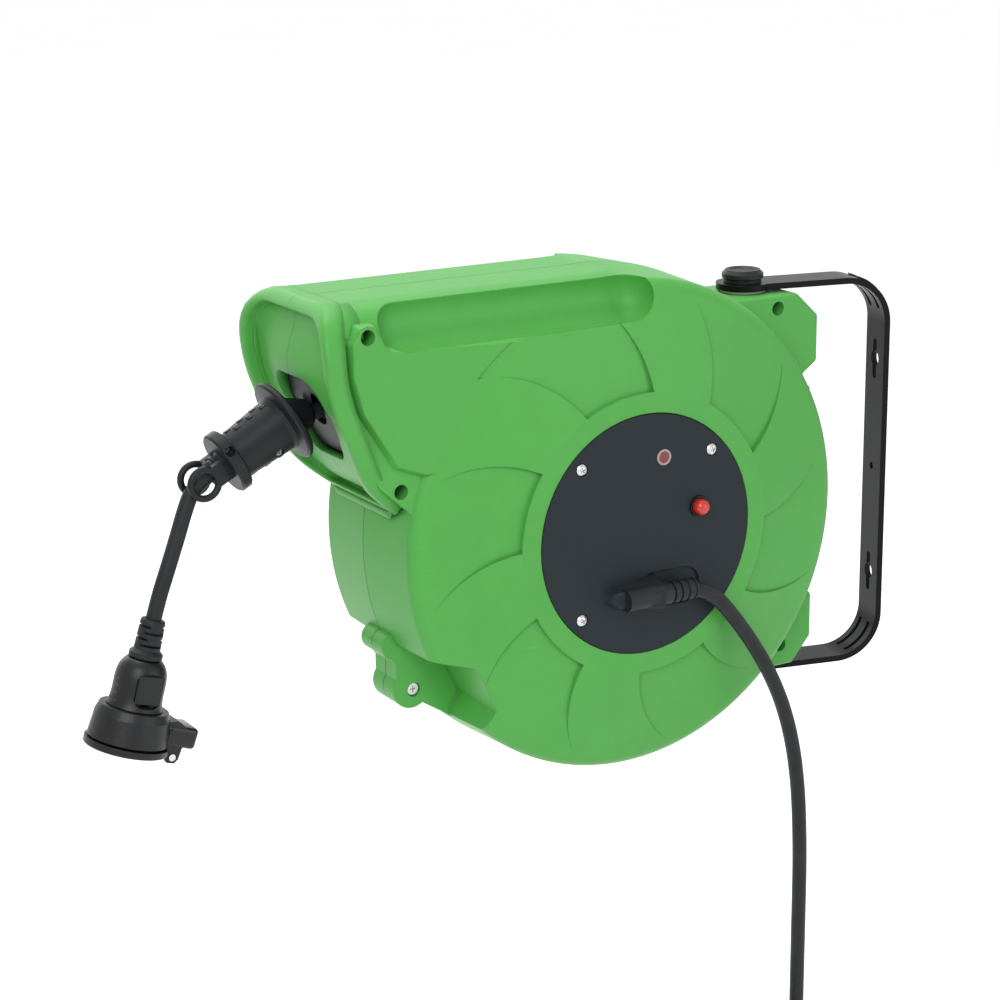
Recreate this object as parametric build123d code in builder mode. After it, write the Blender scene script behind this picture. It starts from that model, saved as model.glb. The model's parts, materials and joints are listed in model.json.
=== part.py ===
"""Wall-mounted extension cord reel with spring rewind.

Row frame: millimetres, origin at the middle of the bracket's back face, where it meets the wall.
+X points into the wall, +Y to the reel's closed side, +Z up.
The reel itself is drawn in its own frame: origin on the drum axis at the parting plane of the
two housing shells, X towards the bracket, Y along the drum axis, Z up.
"""

import os
from math import acos, atan2, cos, degrees, hypot, pi, radians, sin, sqrt, tan

from build123d import *

os.makedirs("parts", exist_ok=True)

# ---------------------------------------------------------------- driving dimensions
SWIVEL = 12.3            # how far the reel stands turned in its bracket, degrees
AXIS_DROP = 1.5          # drum axis below the middle of the bracket

# housing shells
WALL = 3.0
RIM_R = 150.0            # at the parting plane
EDGE_R = RIM_R - 2.5     # where the rim turns into the side
DOME_R = RIM_R - 7.0     # outer end of the domed side
PIVOT_X = RIM_R - 34.0   # pivot line, from the drum axis
RIM_AT_PIVOT = sqrt(RIM_R**2 - PIVOT_X**2)   # height of the rim on the pivot line
FLAT_R = 84.5            # flat ring round the cover
SIDE_Y = 69.5            # parting plane to the flat ring
DOME_DROP = 15.0         # how far the dome falls back from the flat ring to its outer end
RIM_DROP = 4.6           # from there to where the rim starts
SWIRL_DEPTH = 3.0
SWIRL_COUNT = 6
SWIRL_SPAN = 32.0        # degrees
SWIRL_LEAN = 16.5        # degrees gained from the inner to the outer end
SWIRL_START = 27.0       # first corner, degrees from X

# snout
SNOUT_TOP = 149.5
SNOUT_Y = 50.0
SHOULDER_R = 22.0        # long upper edges
CHIN_R = 7.0             # lower edges
PANEL_RAISE = 5.0        # side panels stand out from the snout by this
PANEL_ROOT = 8.0         # and reach this deep into its rounded shoulders
BEZEL_T = 6.0            # mouth bezel in front of the snout
BEZEL_Y = 57.0
MOUTH_Y = 34.0           # half the cord opening
MOUTH_LOW = 60.0
MOUTH_HIGH = 103.0
RIM_ROUND = 1.8          # edges of the bezel's rim
WELL_R = 4.3             # screw wells in the near shell
WELL_FLOOR = 9.0         # screw seats, from the parting plane
SCREW_R = 1.8
SCREW_BITE = 14.0        # depth in the far shell
SCOOP_R = 16.0           # finger scoops under the carrying bar
SCOOP_Y = 50.0
SCOOP_Z = 138.0
SCOOP_FRONT = -146.0
SCOOP_REAR = -2.0

# cover on the near side
COVER_R = 72.0
COVER_T = 3.5
COVER_PROUD = 0.5
COVER_SCREW = 45.0       # screws at the corners of a square, half side
LEDGE_W = 6.0
POT_DEPTH = 23.5         # cover chamber, from the flat ring to the bearing plate
FIT = 0.3                # clearance between pieces that are put together by hand

# bracket
STRAP_W = 24.5
STRAP_T = 3.8
BRACKET_H = 2 * (RIM_AT_PIVOT + 29.9)        # over the two arms
REACH = 95.5             # pivot line to the wall
BEND_R = 30.0            # outside of the bends
EYE_R = 16.4
BOLT_R = 4.0
RUNNING = 0.05           # radial clearance of turning fits
WASHER_T = 1.5
KEY_PITCH = 140.0        # between the two wall slots
KEY_R = 5.0              # round middle of a wall slot
KEY_W = 5.0
KEY_LEN = 26.0
CENTRE_HOLE_R = 2.25

# rear lugs
LUG_Y = 26.0
LUG_REAR = PIVOT_X + 39.0
LUG_GAP = 1.8            # lug to strap, filled by the washer
LUG_LOW = RIM_AT_PIVOT - 18.1    # lower end of the upper lug

# drum and its cord
CORD_R = 4.5
HUB_R = 60.0
DRUM_HALF = 28.0         # half the winding width
FLANGE_T = 3.0
FLANGE_R = 112.0
TURNS_ACROSS = 6
LAYERS = 5
LAYER_STEP = 7.8         # a layer nests between the turns under it
SHAFT_R = 7.0
BUSH_T = 2.0

# mouth and stopper
STOP_X = -197.0          # middle of the stopper's flange
STOP_Z = 80.5
STOP_TILT = 28.0         # the stopper hangs below the level by this, degrees
ROLLER_R = 9.0
ROLLER_X = -151.0

# socket
SOCKET_X = -281.0        # top of the socket's strain relief
SOCKET_Z = -22.0
SOCKET_LEAN = 16.0       # degrees from upright

# supply cord, put away in a coil
COIL_R = 52.0            # middle of its turns
BUNDLE_R = 9.5


def reel_point(x, y, z):
    """A point of the reel's frame, in the row frame."""
    a = radians(SWIVEL)
    dx, dy = x - PIVOT_X, y
    return Vector(-REACH + dx * cos(a) - dy * sin(a), dx * sin(a) + dy * cos(a), z - AXIS_DROP)


REEL = Plane(origin=reel_point(0, 0, 0), x_dir=(cos(radians(SWIVEL)), sin(radians(SWIVEL)), 0),
             z_dir=(0, 0, 1))
ROW = Plane.XY


def save(piece, label, frame=REEL):
    """Places a finished piece in the row frame and writes it."""
    placed = piece.part.moved(frame.location)
    placed.label = label
    export_step(placed, f"parts/{label}.step")


def polar(radius, angle):
    """A point of a side view, from the drum axis."""
    return (radius * cos(radians(angle)), radius * sin(radians(angle)))


# ---------------------------------------------------------------- bracket
arm_length = REACH
arm_top = BRACKET_H / 2
rib_w = 3.4
rib_gap = 11.0
rib_h = 1.1

with BuildPart() as bracket_strap:
    with BuildSketch(Plane.XZ):
        with BuildLine():
            FilletPolyline((-arm_length, arm_top), (0, arm_top), (0, -arm_top), (-arm_length, -arm_top),
                           radius=BEND_R)
            FilletPolyline((-arm_length, -arm_top + STRAP_T), (-STRAP_T, -arm_top + STRAP_T),
                           (-STRAP_T, arm_top - STRAP_T), (-arm_length, arm_top - STRAP_T),
                           radius=BEND_R - STRAP_T)
            Line((-arm_length, arm_top), (-arm_length, arm_top - STRAP_T))
            Line((-arm_length, -arm_top), (-arm_length, -arm_top + STRAP_T))
        make_face()
    extrude(amount=STRAP_W / 2, both=True)
    # round eyes at the ends of the arms
    for level in (-arm_top, arm_top - STRAP_T):
        with BuildSketch(Plane.XY.offset(level)):
            with Locations((-REACH, 0)):
                Circle(EYE_R)
        extrude(amount=STRAP_T)
    with BuildSketch(Plane.XY.offset(-arm_top)):
        with Locations((-REACH, 0)):
            Circle(BOLT_R + 0.3)
    extrude(amount=BRACKET_H, mode=Mode.SUBTRACT)
    # two pressed ribs in each bend: proud outside, sunk inside
    for up in (1, -1):
        for across in (-rib_gap / 2, rib_gap / 2):
            for radius, mode in ((BEND_R + rib_h, Mode.ADD), (BEND_R - STRAP_T + rib_h, Mode.SUBTRACT)):
                with BuildSketch(Plane.XZ.offset(across - rib_w / 2)):
                    with BuildLine():
                        a0, a1 = (18, 72) if up > 0 else (-18, -72)
                        middle = (-BEND_R, up * (arm_top - BEND_R))
                        outer = CenterArc(middle, radius, a0, a1 - a0)
                        inner = CenterArc(middle, radius - 2 * rib_h, a0, a1 - a0)
                        Line(outer @ 0, inner @ 0)
                        Line(outer @ 1, inner @ 1)
                    make_face()
                extrude(amount=rib_w, mode=mode)
    # wall slots: round in the middle, narrow at both ends
    with BuildSketch(Plane.YZ.offset(-STRAP_T)):
        with Locations((0, KEY_PITCH / 2), (0, -KEY_PITCH / 2)):
            Circle(KEY_R)
            SlotOverall(KEY_LEN, KEY_W, rotation=90)
        Circle(CENTRE_HOLE_R)
    extrude(amount=STRAP_T, mode=Mode.SUBTRACT)
save(bracket_strap, "bracket_strap", ROW)

knob_r = 12.8
knob_h = 8.0
bolt_end = RIM_AT_PIVOT - 4.6
nut_r = 7.5
nut_h = 6.5

with BuildPart() as pivot_knob:
    with BuildSketch(Plane.XZ):
        with BuildLine():
            Polyline((0, arm_top + knob_h - 1.0), (knob_r * 0.55, arm_top + knob_h - 1.0),
                     (knob_r * 0.72, arm_top + knob_h), (knob_r - 2.2, arm_top + knob_h),
                     (knob_r, arm_top + knob_h - 2.4), (knob_r, arm_top + 3.0),
                     (knob_r - 1.2, arm_top + 2.4), (knob_r - 1.2, arm_top), (BOLT_R, arm_top),
                     (BOLT_R, bolt_end), (0, bolt_end), close=True)
        make_face()
    revolve(axis=Axis.Z)
PIVOT = Plane(origin=(-REACH, 0, 0))
save(pivot_knob, "pivot_knob", PIVOT)

with BuildPart() as lower_pivot_bolt:
    with BuildSketch(Plane.XY.offset(-arm_top)):
        Circle(BOLT_R)
    extrude(amount=arm_top - bolt_end)
    with BuildSketch(Plane.XY.offset(-arm_top)):
        RegularPolygon(radius=nut_r, side_count=6)
    extrude(amount=-5.3)
    chamfer(lower_pivot_bolt.faces().sort_by(Axis.Z)[0].edges(), length=0.8)
save(lower_pivot_bolt, "lower_pivot_bolt", PIVOT)

with BuildPart() as pivot_nuts:
    for sign in (1, -1):
        with BuildSketch(Plane.XY.offset(sign * (bolt_end + 1.0) - (0 if sign > 0 else nut_h))):
            RegularPolygon(radius=nut_r, side_count=6)
            Circle(BOLT_R, mode=Mode.SUBTRACT)
        extrude(amount=nut_h)
save(pivot_nuts, "pivot_nuts", PIVOT)

with BuildPart() as pivot_washers:
    washer_gap = (LUG_GAP - WASHER_T) / 2
    for level in (arm_top - STRAP_T - washer_gap - WASHER_T, -arm_top + STRAP_T + washer_gap):
        with BuildSketch(Plane.XY.offset(level)):
            Circle(EYE_R - 2.4)
            Circle(BOLT_R + 0.3, mode=Mode.SUBTRACT)
        extrude(amount=WASHER_T)
save(pivot_washers, "pivot_washers", PIVOT)

# ---------------------------------------------------------------- housing: common half form
# The half form is the near half of the housing, from the parting plane towards -Y.
dome_end_y = SIDE_Y - DOME_DROP
edge_y = dome_end_y - RIM_DROP
lug_top = arm_top - STRAP_T - LUG_GAP + AXIS_DROP
lug_bottom = -arm_top + STRAP_T + LUG_GAP + AXIS_DROP
panel_y = SNOUT_Y + PANEL_RAISE

# front line of the mouth bezel, from the top down; everything behind it is set back along X
mouth_line = [(-190, SNOUT_TOP), (-197, 140), (-198.5, 115), (-192, 90), (-171, 47), (-143, 22)]


def set_back(depth):
    """The mouth line moved into the snout."""
    return [(x + depth, z) for x, z in mouth_line]


snout_line = set_back(BEZEL_T + FIT)
panel_line = [(-10, 120), (-158, 126), (-166, 140), (-177, 140), (-183, 130), (-183, 112), (-177, 90),
              (-156, 57), (-138, 50), (-60, 50), (0, 90)]
foot_lobes = [((-138, -60), 8.0), ((-127, -88), 12.0)]
foot_y = 13.0
foot_pocket = [(-175, -48), (-109, -66), (-95, -95), (-120, -140)]
screw_spots = [((-172, 133.5), panel_y), ((-151, 43), SNOUT_Y), ((PIVOT_X + 8.2, lug_top - 7.9), LUG_Y),
               ((PIVOT_X + 15, lug_bottom + 13.9), LUG_Y), ((-125.5, -89), foot_y)]

with BuildPart() as snout_form:
    with BuildSketch(Plane.XZ):
        with BuildLine():
            Polyline((0, SNOUT_TOP), *snout_line, (-60, 22), (0, 60), close=True)
        make_face()
    extrude(amount=SNOUT_Y)
    side_edges = snout_form.faces().sort_by(Axis.Y)[0].edges()
    fillet(side_edges.sort_by(Axis.Z)[-1], radius=SHOULDER_R)
    fillet(snout_form.faces().sort_by(Axis.Y)[0].edges().group_by(Axis.Z)[0], radius=CHIN_R)

with BuildPart() as panel_form:
    for start_y, height, draft in ((SNOUT_Y - PANEL_ROOT, PANEL_ROOT, 0), (SNOUT_Y, PANEL_RAISE, 25)):
        with BuildSketch(Plane.XZ.offset(start_y)):
            with BuildLine():
                Polyline(*panel_line, close=True)
            make_face()
            fillet(vertices(), radius=4)
        extrude(amount=height, taper=draft)
    fillet(panel_form.faces().sort_by(Axis.Y)[0].edges(), radius=1.2)

with BuildPart() as lug_form:
    with BuildSketch(Plane.XZ):
        with BuildLine():
            Polyline((PIVOT_X - 32, lug_top), (LUG_REAR - 16, lug_top), (LUG_REAR, lug_top - 15), (LUG_REAR, LUG_LOW),
                     (LUG_REAR - 10, LUG_LOW - 7), (LUG_REAR - 11, LUG_LOW - 12),
                     (LUG_REAR - 4, LUG_LOW - 16), (LUG_REAR - 8, LUG_LOW - 40), (PIVOT_X + 4, 30),
                     (PIVOT_X - 32, 60), close=True)
        make_face()
        with BuildLine():
            Polyline((PIVOT_X - 32, lug_bottom), (LUG_REAR - 14, lug_bottom), (LUG_REAR, lug_bottom + 16),
                     (LUG_REAR, -74), (LUG_REAR - 12, -62), (PIVOT_X - 6, -62), (PIVOT_X - 32, -80), close=True)
        make_face()
        fillet(vertices(), radius=2.5)
    extrude(amount=LUG_Y)
    fillet(lug_form.edges().group_by(Axis.Y)[0], radius=2.0)

with BuildPart() as half_form:
    with BuildSketch(Plane.XY):
        with BuildLine():
            Polyline((0, 0), (RIM_R, 0), (EDGE_R, -edge_y), (DOME_R, -dome_end_y), (FLAT_R, -SIDE_Y),
                     (0, -SIDE_Y), close=True)
        make_face()
    revolve(axis=Axis.Y)
    for bend_r, round_r in ((EDGE_R, 6), (DOME_R, 10)):
        fillet(half_form.edges().filter_by(GeomType.CIRCLE).filter_by(lambda e: abs(e.radius - bend_r) < 0.1),
               radius=round_r)
    # snout with rounded shoulders and raised side panels
    add(snout_form.part)
    add(panel_form.part)
    add(lug_form.part)

with BuildPart() as half_cavity:
    with BuildSketch(Plane.XY):
        with BuildLine():
            Polyline((0, 0), (RIM_R - WALL, 0), (EDGE_R - WALL, -edge_y + 2), (DOME_R - 2, -dome_end_y + 4),
                     (FLAT_R + 3, -SIDE_Y + SWIRL_DEPTH + WALL), (0, -SIDE_Y + SWIRL_DEPTH + WALL), close=True)
        make_face()
    revolve(axis=Axis.Y)
    # the snout is hollow under the carrying bar and lower down at full width
    with BuildSketch(Plane.XZ):
        with BuildLine():
            Polyline((-30, SNOUT_TOP - WALL), *[(x + WALL, min(z, SNOUT_TOP - WALL)) for x, z in snout_line[:-1]],
                     (-147, 30), (-60, 30), close=True)
        make_face()
    extrude(amount=SCOOP_Y - SCOOP_R - WALL)
    with BuildSketch(Plane.XZ):
        with BuildLine():
            Polyline((-20, SCOOP_Z - SCOOP_R - WALL), (-186, SCOOP_Z - SCOOP_R - WALL),
                     *[(x + WALL, z) for x, z in snout_line[2:-1]], (-147, 30), (-60, 30), close=True)
        make_face()
    extrude(amount=SNOUT_Y - WALL)
    # the front above the scoops is open to the bezel
    with BuildSketch(Plane.XZ):
        with BuildLine():
            Polyline(*snout_line[:-1], (-147, 30), (-138, 36), *[(x + 12, z) for x, z in snout_line[-3:0:-1]],
                     (-176, SNOUT_TOP - WALL), (-184, SNOUT_TOP - WALL), close=True)
        make_face()
    extrude(amount=SNOUT_Y - WALL)

# finger scoop: a round channel with ball ends, which runs out of the top edge
with BuildPart() as scoop:
    with BuildSketch(Plane.YZ.offset(SCOOP_FRONT)):
        with Locations((-SCOOP_Y, SCOOP_Z)):
            Circle(SCOOP_R)
    extrude(amount=SCOOP_REAR - SCOOP_FRONT)
    with Locations((SCOOP_FRONT, -SCOOP_Y, SCOOP_Z), (SCOOP_REAR, -SCOOP_Y, SCOOP_Z)):
        Sphere(SCOOP_R)

with BuildPart() as scoop_lining:
    with BuildSketch(Plane.YZ.offset(SCOOP_FRONT)):
        with Locations((-SCOOP_Y, SCOOP_Z)):
            Circle(SCOOP_R + WALL)
    extrude(amount=SCOOP_REAR - SCOOP_FRONT)
    with Locations((SCOOP_FRONT, -SCOOP_Y, SCOOP_Z), (SCOOP_REAR, -SCOOP_Y, SCOOP_Z)):
        Sphere(SCOOP_R + WALL)
    add(half_form.part, mode=Mode.INTERSECT)

with BuildPart() as foot_lining:
    with BuildSketch(Plane.XZ.offset(foot_y - WALL)):
        with BuildLine():
            Polyline(*foot_pocket, close=True)
        make_face()
        offset(amount=WALL, kind=Kind.INTERSECTION)
    extrude(amount=SIDE_Y)
    add(half_form.part, mode=Mode.INTERSECT)

# swirl panels: sunk below the dome, deepest at the flat ring, running out before the rim
with BuildPart() as swirls:
    with BuildSketch(Plane.XY):
        with BuildLine():
            Polyline((FLAT_R, -SIDE_Y - 2), (DOME_R + 3, -SIDE_Y - 2), (DOME_R + 3, -dome_end_y + 0.3),
                     (FLAT_R, -SIDE_Y + SWIRL_DEPTH), close=True)
        make_face()
    revolve(axis=Axis.Y)
    with BuildSketch(Plane.XZ):
        for k in range(SWIRL_COUNT):
            corner = SWIRL_START + k * 360 / SWIRL_COUNT
            far_corner = corner + SWIRL_LEAN
            with BuildLine():
                inner_edge = CenterArc((0, 0), FLAT_R, corner, SWIRL_SPAN)
                outer_edge = CenterArc((0, 0), DOME_R + 3, far_corner, SWIRL_SPAN)
                for t, angle in ((0, corner), (1, corner + SWIRL_SPAN)):
                    ThreePointArc(inner_edge @ t, polar((FLAT_R + DOME_R) / 2, angle + SWIRL_LEAN * 0.32),
                                  outer_edge @ t)
            make_face()
    extrude(amount=SIDE_Y + 2, mode=Mode.INTERSECT)

with BuildPart() as half_shell:
    add(half_form.part)
    add(half_cavity.part, mode=Mode.SUBTRACT)
    add(scoop_lining.part)
    add(foot_lining.part)
    add(scoop.part, mode=Mode.SUBTRACT)
    with BuildSketch(Plane.XZ.offset(foot_y)):
        with BuildLine():
            Polyline(*foot_pocket, close=True)
        make_face()
    extrude(amount=SIDE_Y, mode=Mode.SUBTRACT)
    add(swirls.part, mode=Mode.SUBTRACT)
    # foot with two round lobes, on a web that runs up the rim
    with BuildSketch(Plane.XZ):
        for centre, radius in foot_lobes:
            with Locations(centre):
                Circle(radius)
        with BuildLine():
            Polyline((-146, -58), (-137, -72), (-137, -84), (-120, -98), (-98, -112), (-108, -62), (-132, -54),
                     close=True)
        make_face()
        Circle(RIM_R - WALL, mode=Mode.SUBTRACT)
    extrude(amount=foot_y)
    # half of each pivot bore, and the pocket of its nut
    with BuildSketch(Plane.XY.offset(lug_bottom - 1)):
        with Locations((PIVOT_X, 0)):
            Circle(BOLT_R + RUNNING)
    extrude(amount=lug_top - lug_bottom + 2, mode=Mode.SUBTRACT)
    for sign in (1, -1):
        with BuildSketch(Plane.XY.offset(sign * (bolt_end - 1.5) + AXIS_DROP)):
            with Locations((PIVOT_X, 0)):
                Circle(nut_r + 1)
        extrude(amount=sign * (nut_h + 4), mode=Mode.SUBTRACT)

# ---------------------------------------------------------------- housing: the two shells
POT_R = COVER_R - LEDGE_W            # cover chamber
bearing_y = SIDE_Y - POT_DEPTH       # outer face of the bearing plate
cover_y = SIDE_Y + COVER_PROUD       # front of the cover
ledge_y = cover_y - COVER_T          # the cover lies on this
collar_y = DRUM_HALF + FLANGE_T + BUSH_T + FIT   # shells' shaft collars end at the bush flanges
window_x = (13.5, 35.5)              # brush window in the bearing plate
window_z = 7.0

with BuildPart() as near_shell:
    add(half_shell.part)
    # chamber behind the cover, with the plate that carries the shaft
    with BuildSketch(Plane.XZ.offset(bearing_y - WALL)):
        Circle(POT_R + WALL)
    extrude(amount=SIDE_Y - SWIRL_DEPTH - bearing_y + WALL)
    with BuildSketch(Plane.XZ.offset(ledge_y)):
        Circle(COVER_R + FIT)
    extrude(amount=COVER_T + 1, mode=Mode.SUBTRACT)
    with BuildSketch(Plane.XZ.offset(bearing_y)):
        Circle(POT_R)
    extrude(amount=POT_DEPTH, mode=Mode.SUBTRACT)
    # shaft collar on the plate and the brush window beside it
    with BuildSketch(Plane.XZ.offset(collar_y)):
        Circle(SHAFT_R + 5)
    extrude(amount=bearing_y + 5 - collar_y)
    with BuildSketch(Plane.XZ.offset(collar_y)):
        Circle(SHAFT_R + RUNNING)
    extrude(amount=bearing_y + 5 - collar_y, mode=Mode.SUBTRACT)
    with BuildSketch(Plane.XZ.offset(bearing_y - WALL)):
        with Locations(((window_x[0] + window_x[1]) / 2, 0)):
            RectangleRounded(window_x[1] - window_x[0], 2 * window_z, 2)
    extrude(amount=WALL, mode=Mode.SUBTRACT)
    # posts for the cover screws
    with BuildSketch(Plane.XZ.offset(bearing_y)):
        with GridLocations(2 * COVER_SCREW, 2 * COVER_SCREW, 2, 2):
            Circle(4.2)
            Circle(SCREW_R, mode=Mode.SUBTRACT)
    extrude(amount=ledge_y - bearing_y)
    # screw wells
    for (x, z), face_y in screw_spots:
        with BuildSketch(Plane.XZ):
            with Locations((x, z)):
                Circle(WELL_R + 1.8)
        extrude(amount=face_y - 0.5)
        with BuildSketch(Plane.XZ.offset(WELL_FLOOR)):
            with Locations((x, z)):
                Circle(WELL_R)
        extrude(amount=SIDE_Y, mode=Mode.SUBTRACT)
        with BuildSketch(Plane.XZ):
            with Locations((x, z)):
                Circle(SCREW_R + 0.3)
        extrude(amount=WELL_FLOOR, mode=Mode.SUBTRACT)
    # the pivot bores again, through the posts of the wells
    with BuildSketch(Plane.XY.offset(lug_bottom - 1)):
        with Locations((PIVOT_X, 0)):
            Circle(BOLT_R + RUNNING)
    extrude(amount=lug_top - lug_bottom + 2, mode=Mode.SUBTRACT)
save(near_shell, "near_shell")

PAWL_R = 92.0            # pawl pivot, from the drum axis
PAWL_AT = 235.0          # degrees round the drum
pawl_spot = polar(PAWL_R, PAWL_AT)
pawl_pin_r = 3.0
pawl_y = DRUM_HALF + FLANGE_T + 0.5
pawl_t = 4.0

with BuildPart() as far_shell:
    add(half_shell.part.mirror(Plane.XZ))
    # collar for the closed end of the shaft
    with BuildSketch(Plane.XZ.offset(-collar_y)):
        Circle(SHAFT_R + 5)
    extrude(amount=-(SIDE_Y - SWIRL_DEPTH - WALL - collar_y))
    with BuildSketch(Plane.XZ.offset(-collar_y)):
        Circle(SHAFT_R + RUNNING)
    extrude(amount=-(SIDE_Y - SWIRL_DEPTH - WALL - collar_y), mode=Mode.SUBTRACT)
    # post of the pawl
    with BuildSketch(Plane.XZ.offset(-(pawl_y + pawl_t + FIT))):
        with Locations(pawl_spot):
            Circle(pawl_pin_r + 3)
            Circle(pawl_pin_r, mode=Mode.SUBTRACT)
    extrude(amount=-(SIDE_Y - SWIRL_DEPTH - WALL - pawl_y - pawl_t - FIT))
    # screw posts
    for (x, z), face_y in screw_spots:
        with BuildSketch(Plane.XZ):
            with Locations((x, z)):
                Circle(WELL_R + 1.8)
        extrude(amount=-(face_y - 0.5))
        with BuildSketch(Plane.XZ):
            with Locations((x, z)):
                Circle(SCREW_R)
        extrude(amount=-SCREW_BITE + 1.5, mode=Mode.SUBTRACT)
    with BuildSketch(Plane.XY.offset(lug_bottom - 1)):
        with Locations((PIVOT_X, 0)):
            Circle(BOLT_R + RUNNING)
    extrude(amount=lug_top - lug_bottom + 2, mode=Mode.SUBTRACT)
save(far_shell, "far_shell")

with BuildPart() as housing_screws:
    for (x, z), face_y in screw_spots:
        with BuildSketch(Plane.XZ.offset(-SCREW_BITE + 2)):
            with Locations((x, z)):
                Circle(SCREW_R - RUNNING)
        extrude(amount=WELL_FLOOR + SCREW_BITE - 2)
        with BuildSketch(Plane.XZ.offset(WELL_FLOOR)):
            with Locations((x, z)):
                Circle(WELL_R - 0.6)
        extrude(amount=2.4)
        with BuildSketch(Plane.XZ.offset(WELL_FLOOR + 1.0)):
            with Locations((x, z)):
                Rectangle(3.6, 0.9)
                Rectangle(0.9, 3.6)
        extrude(amount=2, mode=Mode.SUBTRACT)
save(housing_screws, "housing_screws")

# ---------------------------------------------------------------- mouth bezel
panel_depth = 8.0        # how deep the inner panel lies
RIM_W = 8.5              # width of the bezel's rim
visor_out = 7.0


def mouth_slab(near, far):
    """Closed side outline between two set-backs of the mouth line."""
    return [*set_back(near), *reversed(set_back(far))]


def on_front(edge):
    """Whether an edge lies on the bezel's front line."""
    for (x0, z0), (x1, z1) in zip(mouth_line, mouth_line[1:]):
        ends = [edge @ 0, edge @ 0.5, edge @ 1]
        run = hypot(x1 - x0, z1 - z0)
        if all(abs((p.X - x0) * (z1 - z0) - (p.Z - z0) * (x1 - x0)) < 0.05 * run and z1 - 0.1 < p.Z < z0 + 0.1
               for p in ends):
            return True
    return False


def arch(half, top, bottom, low_half):
    """Front outline of the mouth: upright sides, drawn in at the chin."""
    return [(-low_half, bottom), (-half, 66), (-half, top), (half, top), (half, 66), (low_half, bottom)]


with BuildPart() as mouth_recess:
    with BuildSketch(Plane.XZ):
        with BuildLine():
            Polyline((-240, SNOUT_TOP), *set_back(panel_depth), (-240, 22), close=True)
        make_face()
    extrude(amount=BEZEL_Y, both=True)
    with BuildSketch(Plane.YZ.offset(-250)):
        with BuildLine():
            Polyline(*arch(BEZEL_Y - RIM_W, SNOUT_TOP - RIM_W, 50, 44), close=True)
        make_face()
        fillet(vertices().group_by(Axis.Y)[-1], radius=24)
        fillet(vertices().group_by(Axis.Y)[0], radius=5)
    extrude(amount=150, mode=Mode.INTERSECT)

with BuildPart() as mouth_bezel:
    with BuildSketch(Plane.XZ):
        with BuildLine():
            Polyline(*mouth_slab(0, BEZEL_T), close=True)
        make_face()
    extrude(amount=BEZEL_Y, both=True)
    with BuildSketch(Plane.YZ.offset(-250)):
        with BuildLine():
            Polyline(*arch(BEZEL_Y, SNOUT_TOP + 1.5, 20, 42), close=True)
        make_face()
        fillet(vertices().group_by(Axis.Y)[-1], radius=32)
        fillet(vertices().group_by(Axis.Y)[0], radius=12)
    extrude(amount=150, mode=Mode.INTERSECT)
    # spigot that fits into the snout, and carries the inner panel
    with BuildSketch(Plane.XZ):
        with BuildLine():
            spigot = mouth_slab(BEZEL_T - 1, panel_depth + WALL)
            Polyline(*[(x, min(z, SNOUT_TOP - WALL - FIT)) for x, z in spigot if z > 30], close=True)
        make_face()
    extrude(amount=SNOUT_Y - WALL - FIT, both=True)
    add(mouth_recess.part, mode=Mode.SUBTRACT)
    # domed visor over the cord opening
    with BuildSketch(Plane.XY.offset(MOUTH_HIGH - 2)):
        with BuildLine():
            back_x = mouth_line[2][0] + panel_depth + 2
            ThreePointArc((back_x + 3, -MOUTH_Y - 6), (back_x - visor_out, 0), (back_x + 3, MOUTH_Y + 6))
            Line((back_x + 3, MOUTH_Y + 6), (back_x + 3, -MOUTH_Y - 6))
        make_face()
    extrude(amount=34, taper=6)
    # cord opening
    with BuildSketch(Plane.YZ.offset(-250)):
        with BuildLine():
            Line((-MOUTH_Y, MOUTH_HIGH - 6), (-MOUTH_Y + 5, MOUTH_LOW))
            Line((-MOUTH_Y + 5, MOUTH_LOW), (MOUTH_Y - 5, MOUTH_LOW))
            Line((MOUTH_Y - 5, MOUTH_LOW), (MOUTH_Y, MOUTH_HIGH - 6))
            ThreePointArc((MOUTH_Y, MOUTH_HIGH - 6), (0, MOUTH_HIGH - 1), (-MOUTH_Y, MOUTH_HIGH - 6))
        make_face()
        fillet(vertices().group_by(Axis.Y)[0], radius=8)
    extrude(amount=150, mode=Mode.SUBTRACT)
    # rounded rim
    fillet(mouth_bezel.edges().filter_by(on_front), radius=RIM_ROUND)
    # the chin rests on the rim of the drum housing
    with BuildSketch(Plane.XZ):
        Circle(RIM_R + FIT)
    extrude(amount=BEZEL_Y, both=True, mode=Mode.SUBTRACT)
save(mouth_bezel, "mouth_bezel")

# ---------------------------------------------------------------- cover with what it carries
gland_z = -34.5
gland_y = 79.0           # axis of the supply cord where it leaves, from the parting plane
gland_r = 6.8
hood_wall = 1.6
hood_tip_x = -31.0
hood_end_x = 5.0
hood_half = 10.0
button_spot = (36.0, 12.0)
button_r = 4.8
button_travel = 3.0
stem_r = 2.6
lamp_spot = (11.0, 45.0)
lamp_r = 4.3
cover_corners = [(sx * COVER_SCREW, sz * COVER_SCREW) for sx in (1, -1) for sz in (1, -1)]

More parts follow.
